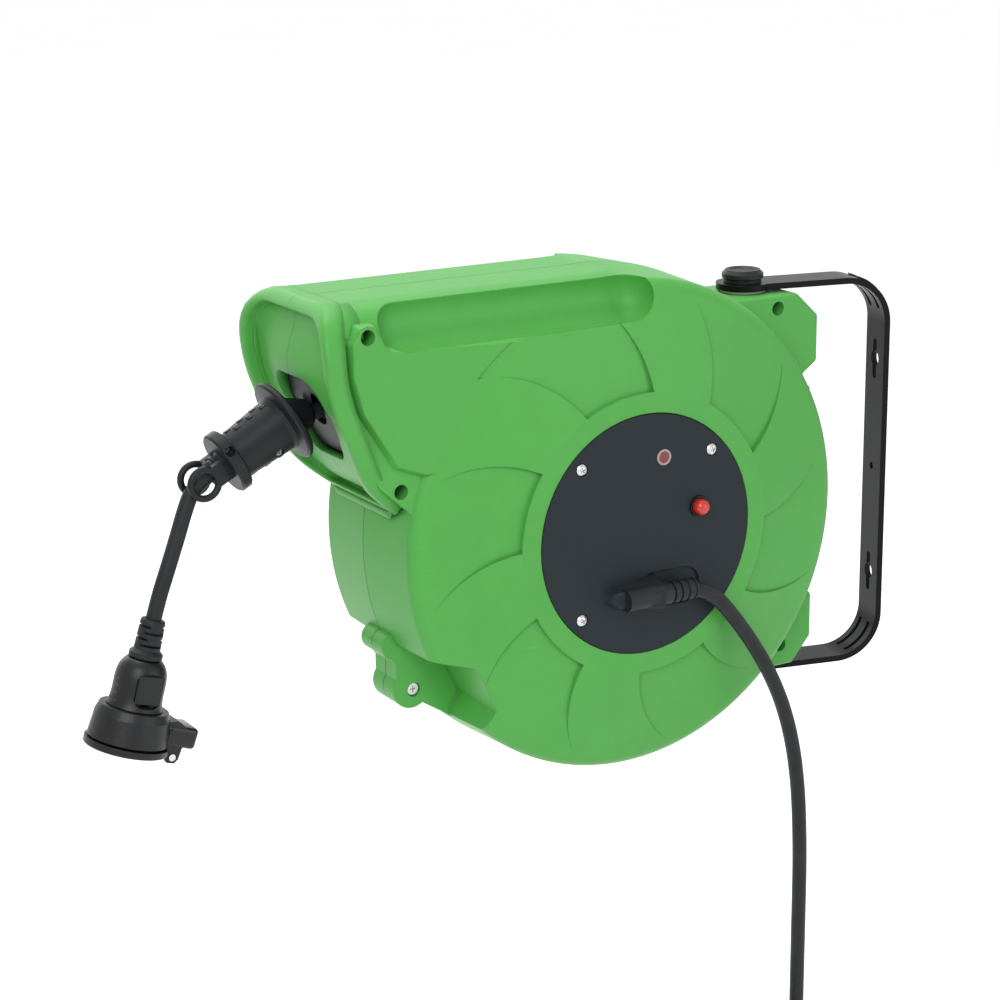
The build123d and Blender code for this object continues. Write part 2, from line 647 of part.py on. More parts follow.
with BuildPart() as side_cover:
    with BuildSketch(Plane.XZ.offset(ledge_y)):
        Circle(COVER_R)
    extrude(amount=COVER_T)
    fillet(side_cover.faces().sort_by(Axis.Y)[0].edges(), radius=0.8)
    # shallow bed for the cord in front of the hood
    with BuildSketch(Plane.XZ.offset(cover_y - 1.6)):
        with Locations((hood_end_x + 10, gland_z)):
            SlotOverall(44, 2 * hood_half + 2)
    extrude(amount=3, mode=Mode.SUBTRACT)
    # bullet-shaped hood, open towards the bracket
    with BuildSketch(Plane.XZ.offset(cover_y - 1.6)):
        with BuildLine():
            Line((hood_end_x, gland_z + hood_half), (hood_tip_x + hood_half, gland_z + hood_half))
            ThreePointArc((hood_tip_x + hood_half, gland_z + hood_half), (hood_tip_x, gland_z),
                          (hood_tip_x + hood_half, gland_z - hood_half))
            Polyline((hood_tip_x + hood_half, gland_z - hood_half), (hood_end_x, gland_z - hood_half),
                     (hood_end_x, gland_z + hood_half))
        make_face()
    extrude(amount=gland_y - cover_y + gland_r + hood_wall + 1.6, taper=9)
    fillet(side_cover.faces().sort_by(Axis.Y)[0].edges().sort_by(Axis.X)[:-1], radius=3.2)
    # bore of the gland
    with BuildSketch(Plane.YZ.offset(hood_end_x - 26)):
        with Locations((-gland_y, gland_z)):
            Circle(gland_r)
    extrude(amount=40, mode=Mode.SUBTRACT)
    # screw holes, sunk a little
    with BuildSketch(Plane.XZ.offset(ledge_y)):
        with Locations(*cover_corners):
            Circle(SCREW_R + 0.3)
        with Locations(button_spot):
            Circle(button_r + 1.4)
        with Locations(lamp_spot):
            Circle(lamp_r)
    extrude(amount=COVER_T, mode=Mode.SUBTRACT)
    with BuildSketch(Plane.XZ.offset(cover_y - 1.0)):
        with Locations(*cover_corners):
            Circle(3.9)
    extrude(amount=2, mode=Mode.SUBTRACT)
save(side_cover, "side_cover")

with BuildPart() as cover_screws:
    with BuildSketch(Plane.XZ.offset(ledge_y - 10)):
        with Locations(*cover_corners):
            Circle(SCREW_R - RUNNING)
    extrude(amount=cover_y - 1.0 - ledge_y + 10)
    for x, z in cover_corners:
        with BuildSketch(Plane.XY.offset(z)):
            with BuildLine():
                Line((x, -cover_y + 1.0), (x + 3.5, -cover_y + 1.0))
                Line((x + 3.5, -cover_y + 1.0), (x + 3.5, -cover_y + 0.2))
                ThreePointArc((x + 3.5, -cover_y + 0.2), (x + 2.4, -cover_y - 0.8), (x, -cover_y - 1.3))
                Line((x, -cover_y - 1.3), (x, -cover_y + 1.0))
            make_face()
        revolve(axis=Axis((x, 0, z), (0, 1, 0)))
    with BuildSketch(Plane.XZ.offset(cover_y)):
        for x, z in cover_corners:
            with Locations((x, z)):
                Rectangle(3.4, 0.8, rotation=20)
                Rectangle(0.8, 3.4, rotation=20)
    extrude(amount=2, mode=Mode.SUBTRACT)
save(cover_screws, "cover_screws")

breaker_depth = 15.0
with BuildPart() as reset_breaker:
    with BuildSketch(Plane.XZ.offset(ledge_y - breaker_depth)):
        with Locations(button_spot):
            RectangleRounded(15, 20, 1.5)
    extrude(amount=breaker_depth)
    with BuildSketch(Plane.XZ.offset(ledge_y)):
        with Locations(button_spot):
            Circle(button_r + 1.3)
    extrude(amount=COVER_T + 1.2)
    with BuildSketch(Plane.XZ.offset(ledge_y - 9)):
        with Locations(button_spot):
            Circle(button_r + 0.3)
    extrude(amount=20, mode=Mode.SUBTRACT)
    with BuildSketch(Plane.XZ.offset(ledge_y - 9 - button_travel - 1.5)):
        with Locations(button_spot):
            Circle(stem_r + RUNNING)
    extrude(amount=button_travel + 2, mode=Mode.SUBTRACT)
    # blades for the wires
    for dz in (-5, 5):
        with BuildSketch(Plane.XZ.offset(ledge_y - breaker_depth - 2)):
            with Locations((button_spot[0], button_spot[1] + dz)):
                Rectangle(6.3, 0.8)
        extrude(amount=2)
save(reset_breaker, "reset_breaker")

cap_back_y = ledge_y - 9 + button_travel + FIT
cap_front_y = cover_y + 5.6
with BuildPart() as reset_button:
    with BuildSketch(Plane.XZ.offset(cap_back_y)):
        with Locations(button_spot):
            Circle(button_r)
    extrude(amount=cap_front_y - cap_back_y)
    fillet(reset_button.faces().sort_by(Axis.Y)[0].edges(), radius=2.2)
    with BuildSketch(Plane.XZ.offset(ledge_y - 9 - 0.5)):
        with Locations(button_spot):
            Circle(stem_r)
    extrude(amount=cap_back_y - ledge_y + 9.5)
save(reset_button, "reset_button")

with BuildPart() as indicator_lens:
    with BuildSketch(Plane.XZ.offset(ledge_y - 1.2)):
        with Locations(lamp_spot):
            Circle(lamp_r + 1.2)
    extrude(amount=1.2)
    with BuildSketch(Plane.XZ.offset(ledge_y)):
        with Locations(lamp_spot):
            Circle(lamp_r - RUNNING)
    extrude(amount=COVER_T + 0.4)
    fillet(indicator_lens.faces().sort_by(Axis.Y)[0].edges(), radius=0.6)
save(indicator_lens, "indicator_lens")

with BuildPart() as indicator_lamp:
    with BuildSketch(Plane.XZ.offset(ledge_y - 1.2 - 9)):
        with Locations(lamp_spot):
            Circle(lamp_r)
    extrude(amount=9)
    for dx in (-1.3, 1.3):
        with BuildSketch(Plane.XZ.offset(ledge_y - 1.2 - 15)):
            with Locations((lamp_spot[0] + dx, lamp_spot[1])):
                Rectangle(0.6, 0.6)
        extrude(amount=6)
save(indicator_lamp, "indicator_lamp")

gland_start = hood_end_x - 26
gland_end = 27.0
with BuildPart() as supply_gland:
    with BuildSketch(Plane.XY.offset(gland_z)):
        with BuildLine():
            Polyline((gland_start, -gland_y), (gland_start, -gland_y + gland_r - RUNNING),
                     (hood_end_x + 1, -gland_y + gland_r - RUNNING), (gland_end, -gland_y + CORD_R + 1.6),
                     (gland_end, -gland_y), close=True)
        make_face()
    revolve(axis=Axis((0, -gland_y, gland_z), (1, 0, 0)))
    # flex grooves
    for k in range(4):
        with BuildSketch(Plane.YZ.offset(hood_end_x + 4 + 5 * k)):
            with Locations((-gland_y, gland_z)):
                Circle(gland_r + 1)
                Circle(CORD_R + 1.1, mode=Mode.SUBTRACT)
        extrude(amount=1.6, mode=Mode.SUBTRACT)
    # bore, flared towards its mouth
    with BuildSketch(Plane.XY.offset(gland_z)):
        with BuildLine():
            Polyline((gland_start + 2, -gland_y), (gland_start + 2, -gland_y + CORD_R + RUNNING),
                     (0, -gland_y + CORD_R + RUNNING), (gland_end, -gland_y + CORD_R + 0.9),
                     (gland_end, -gland_y), close=True)
        make_face()
    revolve(axis=Axis((0, -gland_y, gland_z), (1, 0, 0)), mode=Mode.SUBTRACT)
save(supply_gland, "supply_gland")

# ---------------------------------------------------------------- shaft, drum and rewind spring
shaft_near = bearing_y + 4
shaft_far = SIDE_Y - SWIRL_DEPTH - WALL
web_y = (-12.0, -9.0)    # drum web, between the slip ring side and the spring chamber
spring_in, spring_out = 8.6, 52.0
spring_y = (-4.0, 22.0)
lid_y = DRUM_HALF - FLANGE_T

with BuildPart() as drum_shaft:
    with BuildSketch(Plane.XZ.offset(-shaft_far)):
        Circle(SHAFT_R)
    extrude(amount=shaft_near + shaft_far)
    # slot that holds the inner end of the rewind spring
    with BuildSketch(Plane.XZ.offset(-spring_y[1] - 1)):
        with Locations((SHAFT_R - 1.5, 0)):
            Rectangle(3.4, 1.6)
    extrude(amount=spring_y[1] - spring_y[0] + 2, mode=Mode.SUBTRACT)
save(drum_shaft, "drum_shaft")

boss_r = SHAFT_R + 5
bush_r = SHAFT_R + 2.4
with BuildPart() as cable_drum:
    with BuildSketch(Plane.XY):
        with BuildLine():
            Polyline((bush_r, -DRUM_HALF - FLANGE_T), (FLANGE_R - 2, -DRUM_HALF - FLANGE_T),
                     (FLANGE_R, -DRUM_HALF - FLANGE_T + 1), (FLANGE_R, -DRUM_HALF), (HUB_R, -DRUM_HALF),
                     (HUB_R, DRUM_HALF), (FLANGE_R, DRUM_HALF), (FLANGE_R, DRUM_HALF + FLANGE_T - 1),
                     (FLANGE_R - 2, DRUM_HALF + FLANGE_T), (HUB_R - WALL, DRUM_HALF + FLANGE_T),
                     (HUB_R - WALL, web_y[1]), (boss_r, web_y[1]), (boss_r, spring_y[0] - 1),
                     (bush_r, spring_y[0] - 1), close=True)
        make_face()
        with BuildLine():
            Polyline((boss_r, -DRUM_HALF), (HUB_R - WALL, -DRUM_HALF), (HUB_R - WALL, web_y[0]),
                     (boss_r, web_y[0]), close=True)
        make_face(mode=Mode.SUBTRACT)
    revolve(axis=Axis.Y)
    # round windows in the flanges show how much cord is left
    with BuildSketch(Plane.XZ.offset(-DRUM_HALF - FLANGE_T - 1)):
        with PolarLocations((HUB_R + FLANGE_R) / 2 + 16, 8, start_angle=11):
            Circle(7)
    extrude(amount=FLANGE_T + 1, mode=Mode.SUBTRACT)
    with BuildSketch(Plane.XZ.offset(DRUM_HALF)):
        with PolarLocations((HUB_R + FLANGE_R) / 2, 8, start_angle=11):
            Circle(9)
    extrude(amount=FLANGE_T + 1, mode=Mode.SUBTRACT)
save(cable_drum, "cable_drum")

with BuildPart() as spring_lid:
    with BuildSketch(Plane.XZ.offset(-lid_y - FLANGE_T)):
        Circle(HUB_R - WALL - FIT / 2)
        Circle(bush_r, mode=Mode.SUBTRACT)
    extrude(amount=FLANGE_T)
    with BuildSketch(Plane.XZ.offset(-DRUM_HALF - FLANGE_T)):
        Circle(boss_r)
        Circle(bush_r, mode=Mode.SUBTRACT)
    extrude(amount=FLANGE_T)
save(spring_lid, "spring_lid")

with BuildPart() as drum_bushes:
    for sign in (-1, 1):
        face = sign * (DRUM_HALF + FLANGE_T)
        with BuildSketch(Plane.XY):
            with BuildLine():
                Polyline((SHAFT_R + RUNNING, face + sign * BUSH_T), (boss_r - 1, face + sign * BUSH_T),
                         (boss_r - 1, face), (bush_r, face), (bush_r, face - sign * 6),
                         (SHAFT_R + RUNNING, face - sign * 6), close=True)
            make_face()
    revolve(axis=Axis.Y)
save(drum_bushes, "drum_bushes")

# rewind spring: a flat strip wound from the shaft to the hub wall
strip = 0.9
spring_turns = 6
spring_pitch = (spring_out - spring_in) / spring_turns
spiral_steps = 10 * spring_turns


def spiral(offset_r, share):
    """A point of the strip: share runs from 0 at the shaft to 1 at the hub wall."""
    return polar(spring_in + offset_r + spring_pitch * spring_turns * share, -360 * spring_turns * share)


with BuildPart() as rewind_spring:
    with BuildSketch(Plane.XZ.offset(-spring_y[1])):
        with BuildLine():
            near_side = Spline(*[spiral(0, k / spiral_steps) for k in range(spiral_steps + 1)])
            far_side = Spline(*[spiral(strip, k / spiral_steps) for k in range(spiral_steps + 1)])
            Line(near_side @ 0, far_side @ 0)
            Line(near_side @ 1, far_side @ 1)
        make_face()
        # hooks at both ends
        with Locations(((SHAFT_R + spring_in + strip) / 2 - 0.3, 0)):
            Rectangle(spring_in + strip - SHAFT_R + 2.0, strip)
        with Locations(((spring_out + HUB_R - WALL) / 2, 0)):
            Rectangle(HUB_R - WALL - spring_out - 0.2, strip)
    extrude(amount=spring_y[1] - spring_y[0])
save(rewind_spring, "rewind_spring")

turn_w = 2 * DRUM_HALF / TURNS_ACROSS
outer_r = HUB_R + CORD_R + LAYER_STEP * (LAYERS - 1)
with BuildPart() as wound_cord:
    with BuildSketch(Plane.XY):
        with Locations(((HUB_R + outer_r) / 2 + 0.15, 0)):
            Rectangle(outer_r - HUB_R - 0.3, 2 * DRUM_HALF - 0.4)
        with Locations(*[(outer_r, -DRUM_HALF + turn_w * (k + 0.5)) for k in range(TURNS_ACROSS)]):
            Circle(CORD_R)
    revolve(axis=Axis.Y)
save(wound_cord, "wound_cord")

# slip rings on the near flange, brushes on the bearing plate
carrier_t = 4.0
ring_t = 1.0
ring_bands = [(15.5, 19.5), (22.0, 26.0), (28.5, 32.5)]
with BuildPart() as slip_ring_carrier:
    with BuildSketch(Plane.XZ.offset(DRUM_HALF + FLANGE_T)):
        Circle(35)
        Circle(SHAFT_R + 6.5, mode=Mode.SUBTRACT)
    extrude(amount=carrier_t)
save(slip_ring_carrier, "slip_ring_carrier")

with BuildPart() as slip_rings:
    with BuildSketch(Plane.XZ.offset(DRUM_HALF + FLANGE_T + carrier_t)):
        for ring_low, ring_high in reversed(ring_bands):
            Circle(ring_high)
            Circle(ring_low, mode=Mode.SUBTRACT)
    extrude(amount=ring_t)
save(slip_rings, "slip_rings")

# one moulded holder in the bearing plate's window, with a brush for each ring
brush = 3.4
brush_y = DRUM_HALF + FLANGE_T + carrier_t + ring_t + FIT
holder_y = brush_y + 2.0
window_mid = (window_x[0] + window_x[1]) / 2
brush_spots = [((ring_low + ring_high) / 2, 0) for ring_low, ring_high in ring_bands]
with BuildPart() as brush_holder:
    with BuildSketch(Plane.XZ.offset(holder_y)):
        with Locations((window_mid, 0)):
            RectangleRounded(window_x[1] - window_x[0] - 2 * FIT, 2 * window_z - 2 * FIT, 2)
    extrude(amount=bearing_y - holder_y)
    with BuildSketch(Plane.XZ.offset(bearing_y)):
        with Locations((window_mid + 0.6, 0)):
            RectangleRounded(window_x[1] - window_x[0] + 3, 2 * window_z + 5, 2)
    extrude(amount=3)
    with BuildSketch(Plane.XZ.offset(holder_y)):
        with Locations(*brush_spots):
            Rectangle(brush + 0.1, brush + 0.1)
    extrude(amount=bearing_y - holder_y + 2, mode=Mode.SUBTRACT)
save(brush_holder, "brush_holder")

with BuildPart() as brushes:
    with BuildSketch(Plane.XZ.offset(brush_y)):
        with Locations(*brush_spots):
            Rectangle(brush, brush)
    extrude(amount=bearing_y - brush_y)
save(brushes, "brushes")

# ---------------------------------------------------------------- ratchet and pawl
ratchet_root = 72.0
ratchet_tip = 78.0
ratchet_t = 5.0
ratchet_y = DRUM_HALF + FLANGE_T
tooth_step = 12.8        # degrees
tooth_count = 20
free_from, free_to = 150.0, 254.0    # the pawl hangs free in this stretch of the rim

with BuildPart() as ratchet_wheel:
    with BuildSketch(Plane.XZ.offset(-ratchet_y)):
        Circle(ratchet_root)
        for k in range(tooth_count):
            start = free_to + 2 + k * tooth_step
            with BuildLine():
                Polyline(polar(ratchet_root - 1, start), polar(ratchet_root, start),
                         polar(ratchet_tip, start + 0.35 * tooth_step),
                         polar(ratchet_tip, start + 0.5 * tooth_step),
                         polar(ratchet_root, start + 0.85 * tooth_step),
                         polar(ratchet_root - 1, start + 0.85 * tooth_step), close=True)
            make_face()
        Circle(ratchet_root - 10, mode=Mode.SUBTRACT)
    extrude(amount=-ratchet_t)
save(ratchet_wheel, "ratchet_wheel")

pawl_reach = PAWL_R - ratchet_root - 2.5
with BuildPart() as pawl:
    with BuildSketch(Plane(origin=(pawl_spot[0], pawl_y + pawl_t, pawl_spot[1]),
                           x_dir=(cos(radians(PAWL_AT)), 0, sin(radians(PAWL_AT))), z_dir=(0, -1, 0))):
        Circle(pawl_pin_r + 3)
        with BuildLine():
            Polyline((0, 5.5), (-pawl_reach + 3, 3), (-pawl_reach, 0), (-pawl_reach + 3, -3), (0, -5.5),
                     close=True)
        make_face()
        Circle(pawl_pin_r + RUNNING, mode=Mode.SUBTRACT)
    extrude(amount=pawl_t)
save(pawl, "pawl")

with BuildPart() as pawl_pin:
    with BuildSketch(Plane.XZ.offset(-pawl_y)):
        with Locations(pawl_spot):
            Circle(pawl_pin_r)
    extrude(amount=-20)
save(pawl_pin, "pawl_pin")

# ---------------------------------------------------------------- cord guide in the mouth
feed_r = outer_r + sqrt((2 * CORD_R + FIT) ** 2 - (turn_w / 2) ** 2)
stop_far = hypot(STOP_X, STOP_Z)
feed_angle = degrees(atan2(STOP_Z, STOP_X) - acos(feed_r / stop_far))
feed_x, feed_z = polar(feed_r, feed_angle)
feed_slope = atan2(feed_z - STOP_Z, feed_x - STOP_X)     # the cord falls by this towards the mouth
print("feed radius", round(feed_r, 3), "angle", round(feed_angle, 3), "slope", round(degrees(feed_slope), 3))


def axial(x, z, angle, y=0.0):
    """Drawing plane in a side view: its Y runs along the angle, its X across it."""
    a = radians(angle)
    return Plane(origin=(x, y, z), x_dir=(sin(a), 0, -cos(a)), z_dir=(0, -1, 0))


def feed_at(x):
    """Height of the cord's axis on its straight way to the mouth."""
    return STOP_Z + (x - STOP_X) * tan(feed_slope)


roller_half = 31.0
roller_rise = CORD_R + FIT + ROLLER_R
axle_r = 2.5
cheek_y = 33.0
cheek_t = 3.0
guide_back = -136.0
guide_front = panel_depth + WALL + FIT    # just behind the inner panel
roller_centres = [(ROLLER_X - side * roller_rise * sin(feed_slope),
                   feed_at(ROLLER_X) + side * roller_rise * cos(feed_slope)) for side in (1, -1)]

with BuildPart() as cord_guide:
    guide_top, guide_low = 113.0, 59.0
    # front plate that follows the mouth, side cheeks that carry the rollers
    with BuildSketch(Plane.XZ):
        with BuildLine():
            Polyline(*set_back(guide_front)[2:5], *reversed(set_back(guide_front + 3.5)[2:5]), close=True)
        make_face()
        with Locations((-170, (guide_top + guide_low) / 2)):
            Rectangle(60, guide_top - guide_low, mode=Mode.INTERSECT)
    extrude(amount=cheek_y + cheek_t, both=True)
    for near in (True, False):
        with BuildSketch(Plane.XZ.offset(cheek_y if near else -cheek_y - cheek_t)):
            with BuildLine():
                Polyline(*set_back(guide_front + 3)[2:5], (guide_back, 47), (guide_back, 115), close=True)
            make_face()
            with Locations(((guide_back - 200) / 2, (guide_top + guide_low) / 2)):
                Rectangle(200 + guide_back, guide_top - guide_low, mode=Mode.INTERSECT)
            fillet(vertices().group_by(Axis.X)[-1], radius=6)
            with Locations(*roller_centres):
                Circle(axle_r, mode=Mode.SUBTRACT)
        extrude(amount=cheek_t)
    # posts out to the two shells
    with BuildSketch(Plane.XZ.offset(-SNOUT_Y + WALL + FIT)):
        with Locations((-170, 84)):
            Circle(4)
    extrude(amount=2 * (SNOUT_Y - WALL - FIT))
    with BuildSketch(Plane.XZ.offset(-cheek_y)):
        with Locations((-170, 84)):
            Circle(6)
    extrude(amount=2 * cheek_y, mode=Mode.SUBTRACT)
    # bell mouth for the cord
    with BuildSketch(axial(-171, feed_at(-171), 180 + degrees(feed_slope))):
        with BuildLine():
            Line((0, -6), (CORD_R + 2.5, -6))
            ThreePointArc((CORD_R + 2.5, -6), (CORD_R + 4.5, 4), (CORD_R + 12, 12))
            Polyline((CORD_R + 12, 12), (CORD_R + 12, 30), (0, 30), (0, -6))
        make_face()
    revolve(axis=Axis((-171, 0, feed_at(-171)), (cos(feed_slope), 0, sin(feed_slope))), mode=Mode.SUBTRACT)
save(cord_guide, "cord_guide")

for label, (roller_x, roller_z) in zip(("roller_upper", "roller_lower"), roller_centres):
    with BuildPart() as roller:
        with BuildSketch(Plane.XY.offset(roller_z)):
            with BuildLine():
                Polyline((roller_x + axle_r + RUNNING, -roller_half),
                         (roller_x + ROLLER_R + 1.5, -roller_half),
                         (roller_x + ROLLER_R + 1.5, -roller_half + 6),
                         (roller_x + ROLLER_R, -roller_half + 12),
                         (roller_x + ROLLER_R, roller_half - 12),
                         (roller_x + ROLLER_R + 1.5, roller_half - 6),
                         (roller_x + ROLLER_R + 1.5, roller_half),
                         (roller_x + axle_r + RUNNING, roller_half), close=True)
            make_face()
        revolve(axis=Axis((roller_x, 0, roller_z), (0, 1, 0)))
    save(roller, label)

with BuildPart() as roller_axles:
    with BuildSketch(Plane.XZ.offset(-cheek_y - cheek_t)):
        with Locations(*roller_centres):
            Circle(axle_r)
    extrude(amount=2 * (cheek_y + cheek_t))
save(roller_axles, "roller_axles")

# ---------------------------------------------------------------- stopper on the cord
stop_down = 180 + STOP_TILT
stop_dir = Vector(cos(radians(stop_down)), 0, sin(radians(stop_down)))
feed_back = Vector(cos(feed_slope), 0, sin(feed_slope))
stop_at = Vector(STOP_X, 0, STOP_Z)
flange_r = 24.7
collar_r = 18.5
collar_at = (36.8, 43.8)     # along the stopper, from its flange
neck_end = 53.4
eyelet_at = 60.0
eyelet_r = 8.3
eyelet_wire = 2.0
eyelet_y = CORD_R + eyelet_wire + 0.5
stop_screws = [(15.0, -9.5), (40.3, 10.5)]    # along and across

with BuildPart() as stopper:
    with BuildSketch(axial(STOP_X, STOP_Z, stop_down)):
        with BuildLine():
            Polyline((0, -1.5), (flange_r - 1.2, -1.5), (flange_r, -0.4), (flange_r, 1.6), (flange_r - 1, 2.6),
                     (17.4, 3.4), (16, 6), (14, collar_at[0] - 1.5), (14, collar_at[0]),
                     (collar_r - 1, collar_at[0]), (collar_r, collar_at[0] + 1), (collar_r, collar_at[1] - 1),
                     (collar_r - 1, collar_at[1]), (8.2, collar_at[1]))
            Polyline((8.2, collar_at[1]), (7.2, collar_at[1] + 1.5), (7.2, collar_at[1] + 3), (7.9, collar_at[1] + 3.4),
                     (7.8, collar_at[1] + 5), (6.9, collar_at[1] + 5.4), (6.9, collar_at[1] + 7),
                     (7.6, collar_at[1] + 7.4), (7.2, neck_end), (0, neck_end), (0, -1.5))
        make_face()
    revolve(axis=Axis(stop_at, stop_dir))
    # rear cone that seats in the bell mouth
    with BuildSketch(axial(STOP_X, STOP_Z, degrees(feed_slope))):
        with BuildLine():
            Polyline((0, -1), (13, -1), (8.4, 14), (7, 15.5), (0, 15.5), close=True)
        make_face()
    revolve(axis=Axis(stop_at, feed_back))
    # two eyelets for hanging the end up
    for side in (-1, 1):
        ring_plane = axial(STOP_X, STOP_Z, stop_down, y=side * eyelet_y)
        with BuildSketch(ring_plane.offset(-eyelet_wire)):
            with Locations((0, (eyelet_at + collar_at[1]) / 2 - 3)):
                Rectangle(2 * eyelet_r - 4, eyelet_at - collar_at[1] - 3.5)
            with Locations((0, eyelet_at)):
                Circle(eyelet_r - 0.5, mode=Mode.SUBTRACT)
        extrude(amount=2 * eyelet_wire)
        with Locations(ring_plane.location * Location((0, eyelet_at, 0))):
            Torus(eyelet_r, eyelet_wire)
    # bores for both ends of the cord
    with BuildSketch(Plane(origin=stop_at + feed_back * 6, x_dir=(0, 1, 0), z_dir=feed_back)):
        Circle(CORD_R + RUNNING)
    extrude(amount=30, mode=Mode.SUBTRACT)
    with BuildSketch(Plane(origin=stop_at + stop_dir * 46, x_dir=(0, 1, 0), z_dir=stop_dir)):
        Circle(CORD_R + RUNNING)
    extrude(amount=40, mode=Mode.SUBTRACT)
    for along, across in stop_screws:
        spot = axial(STOP_X, STOP_Z, stop_down)
        with BuildSketch(spot.offset(-8)):
            with Locations((across, along)):
                Circle(1.3)
        extrude(amount=40, mode=Mode.SUBTRACT)
        with BuildSketch(spot.offset(7)):
            with Locations((across, along)):
                Circle(2.8)
        extrude(amount=40, mode=Mode.SUBTRACT)

for label, keep in (("stopper_near", Keep.TOP), ("stopper_far", Keep.BOTTOM)):
    with BuildPart() as stopper_half:
        add(stopper.part)
        split(bisect_by=Plane.XZ, keep=keep)
    save(stopper_half, label)

with BuildPart() as stopper_screws:
    for along, across in stop_screws:
        spot = axial(STOP_X, STOP_Z, stop_down)
        with BuildSketch(spot.offset(-7)):
            with Locations((across, along)):
                Circle(1.3 - RUNNING)
        extrude(amount=14)
        with BuildSketch(spot.offset(7)):
            with Locations((across, along)):
                Circle(2.5)
        extrude(amount=1.8)
        with BuildSketch(spot.offset(8)):
            with Locations((across, along)):
                Rectangle(2.8, 0.7)
                Rectangle(0.7, 2.8)
        extrude(amount=2, mode=Mode.SUBTRACT)
save(stopper_screws, "stopper_screws")

# ---------------------------------------------------------------- cords


def cord_path(label, route, share=0.45):
    """Straight runs with the largest arcs that they allow."""
    points = [Vector(*p) for p in route]
    runs = [(b - a) for a, b in zip(points, points[1:])]
    turns = [radians(a.get_angle(b)) for a, b in zip(runs, runs[1:])]
    radii = [share * min(a.length, b.length) / tan(turn / 2) for a, b, turn in zip(runs, runs[1:], turns)]
    print(label, "bends", [round(r, 1) for r in radii], "runs", [round(r.length, 1) for r in runs])
    return points, radii


def tube(label, points, radii, radius=CORD_R):
    """Round cord along straight runs and arcs."""
    with BuildPart() as cord:
        with BuildLine() as path:
            FilletPolyline(*points, radius=radii)
        wire = path.wire()
        with BuildSketch(Plane(origin=wire @ 0, z_dir=wire % 0)):
            Circle(radius)
        sweep()
    length = wire.length
    print(label, "length", round(length, 1), "volume share", round(cord.part.volume / (pi * radius**2 * length), 4))
    return cord


with BuildPart() as feed_cord:
    feed_end = stop_at + feed_back * 6.5
    with BuildSketch(Plane(origin=feed_end, x_dir=(0, 1, 0), z_dir=feed_back)):
        Circle(CORD_R)
    extrude(amount=(Vector(feed_x, 0, feed_z) - feed_end).length)
save(feed_cord, "feed_cord")

# the short lead from the stopper down to the socket
lead_route = [(-238.06, 0, 58.67), (-249.1, 0, 52.8), (-254.8, 0, 42), (-257.5, 0, 27), (-263.3, 0, 11),
              (-271.5, 0, -2), (-278.933, 0, -14.791), (-283.343, 0, -30.171)]
lead_points, lead_radii = cord_path("lead", lead_route)
lead_cord = tube("lead", lead_points, lead_radii)
save(lead_cord, "lead_cord")

# ---------------------------------------------------------------- socket at the end of the cord
# Drawn with Z up the cord, X away from the reel's mouth and turned down, Y along the drum axis.
SOCKET = Plane(origin=(SOCKET_X, 0, SOCKET_Z), x_dir=(cos(radians(SOCKET_LEAN)), 0, -sin(radians(SOCKET_LEAN))),
               z_dir=(sin(radians(SOCKET_LEAN)), 0, cos(radians(SOCKET_LEAN))))
boot_low = -17.0
grip_top = -22.6
grip_low = -50.0
face_low = -70.0         # rim of the socket
well_r = 19.2
rim_wall = 3.6
insert_y = (-54.9, -52.2)    # levels of the contact plate
contact_gap = 9.5        # contacts, from the middle
pin_hole_r = 2.45
earth_off = 10.0
hinge_x = 24.5
hinge_z = -75.0
hinge_pin_r = 2.0
ear_in, ear_out = 6.3, 10.0
lid_top = face_low - FIT
lid_t = 4.2


def save_on_socket(piece, label):
    """Places a piece drawn in the socket's frame."""
    piece.part.location = SOCKET.location
    save(piece, label)


with BuildPart() as socket_boot:
    with BuildSketch(Plane.XZ):
        with BuildLine():
            Polyline((0, 0), (6.4, 0), (7.0, -1), (7.5, boot_low), (9.5, boot_low - 2), (9.5, grip_top + 1),
                     (7.8, grip_top), (0, grip_top), close=True)
        make_face()
    revolve(axis=Axis.Z)
    with BuildSketch(Plane.XY.offset(-9)):
        Circle(CORD_R + RUNNING)
    extrude(amount=10, mode=Mode.SUBTRACT)
    # slots that let the boot flex
    for level, turn in ((-4.5, 0), (-8, 90), (-11.5, 0), (-15, 90)):
        with BuildSketch(Plane.XY.offset(level)):
            with Locations(Rotation(0, 0, turn)):
                with GridLocations(11.6, 0, 2, 1):
                    Rectangle(5, 20)
        extrude(amount=1.5, mode=Mode.SUBTRACT)
save_on_socket(socket_boot, "socket_boot")

with BuildPart() as socket_body:
    with BuildSketch(Plane.XZ):
        with BuildLine():
            Line((0, grip_top), (9.9, grip_top))
            Spline((9.9, grip_top), (13.2, grip_top - 4.5), (14.6, grip_top - 14), (16, grip_low))
            Polyline((16, grip_low), (14, grip_low), (14, grip_low - 1.8), (0, grip_low - 1.8), (0, grip_top))
        make_face()
    revolve(axis=Axis.Z)
    # flat for the thumb on the near side
    with BuildSketch(Plane.XZ.offset(12.2)):
        with Locations((1, (grip_top + grip_low) / 2 - 1.5)):
            RectangleRounded(17, 18, 5)
    extrude(amount=10, taper=-20, mode=Mode.SUBTRACT)
    # finger ribs on both sides
    for level in range(5):
        with BuildSketch(Plane.XY.offset(grip_low + 3 + 4 * level)):
            with GridLocations(31.4, 0, 2, 1):
                Rectangle(3, 12)
        extrude(amount=1.2, mode=Mode.SUBTRACT)
    # hollow for the contacts
    with BuildSketch(Plane.XY.offset(grip_low - 2)):
        Circle(12.4)
    extrude(amount=16, mode=Mode.SUBTRACT)
save_on_socket(socket_body, "socket_body")

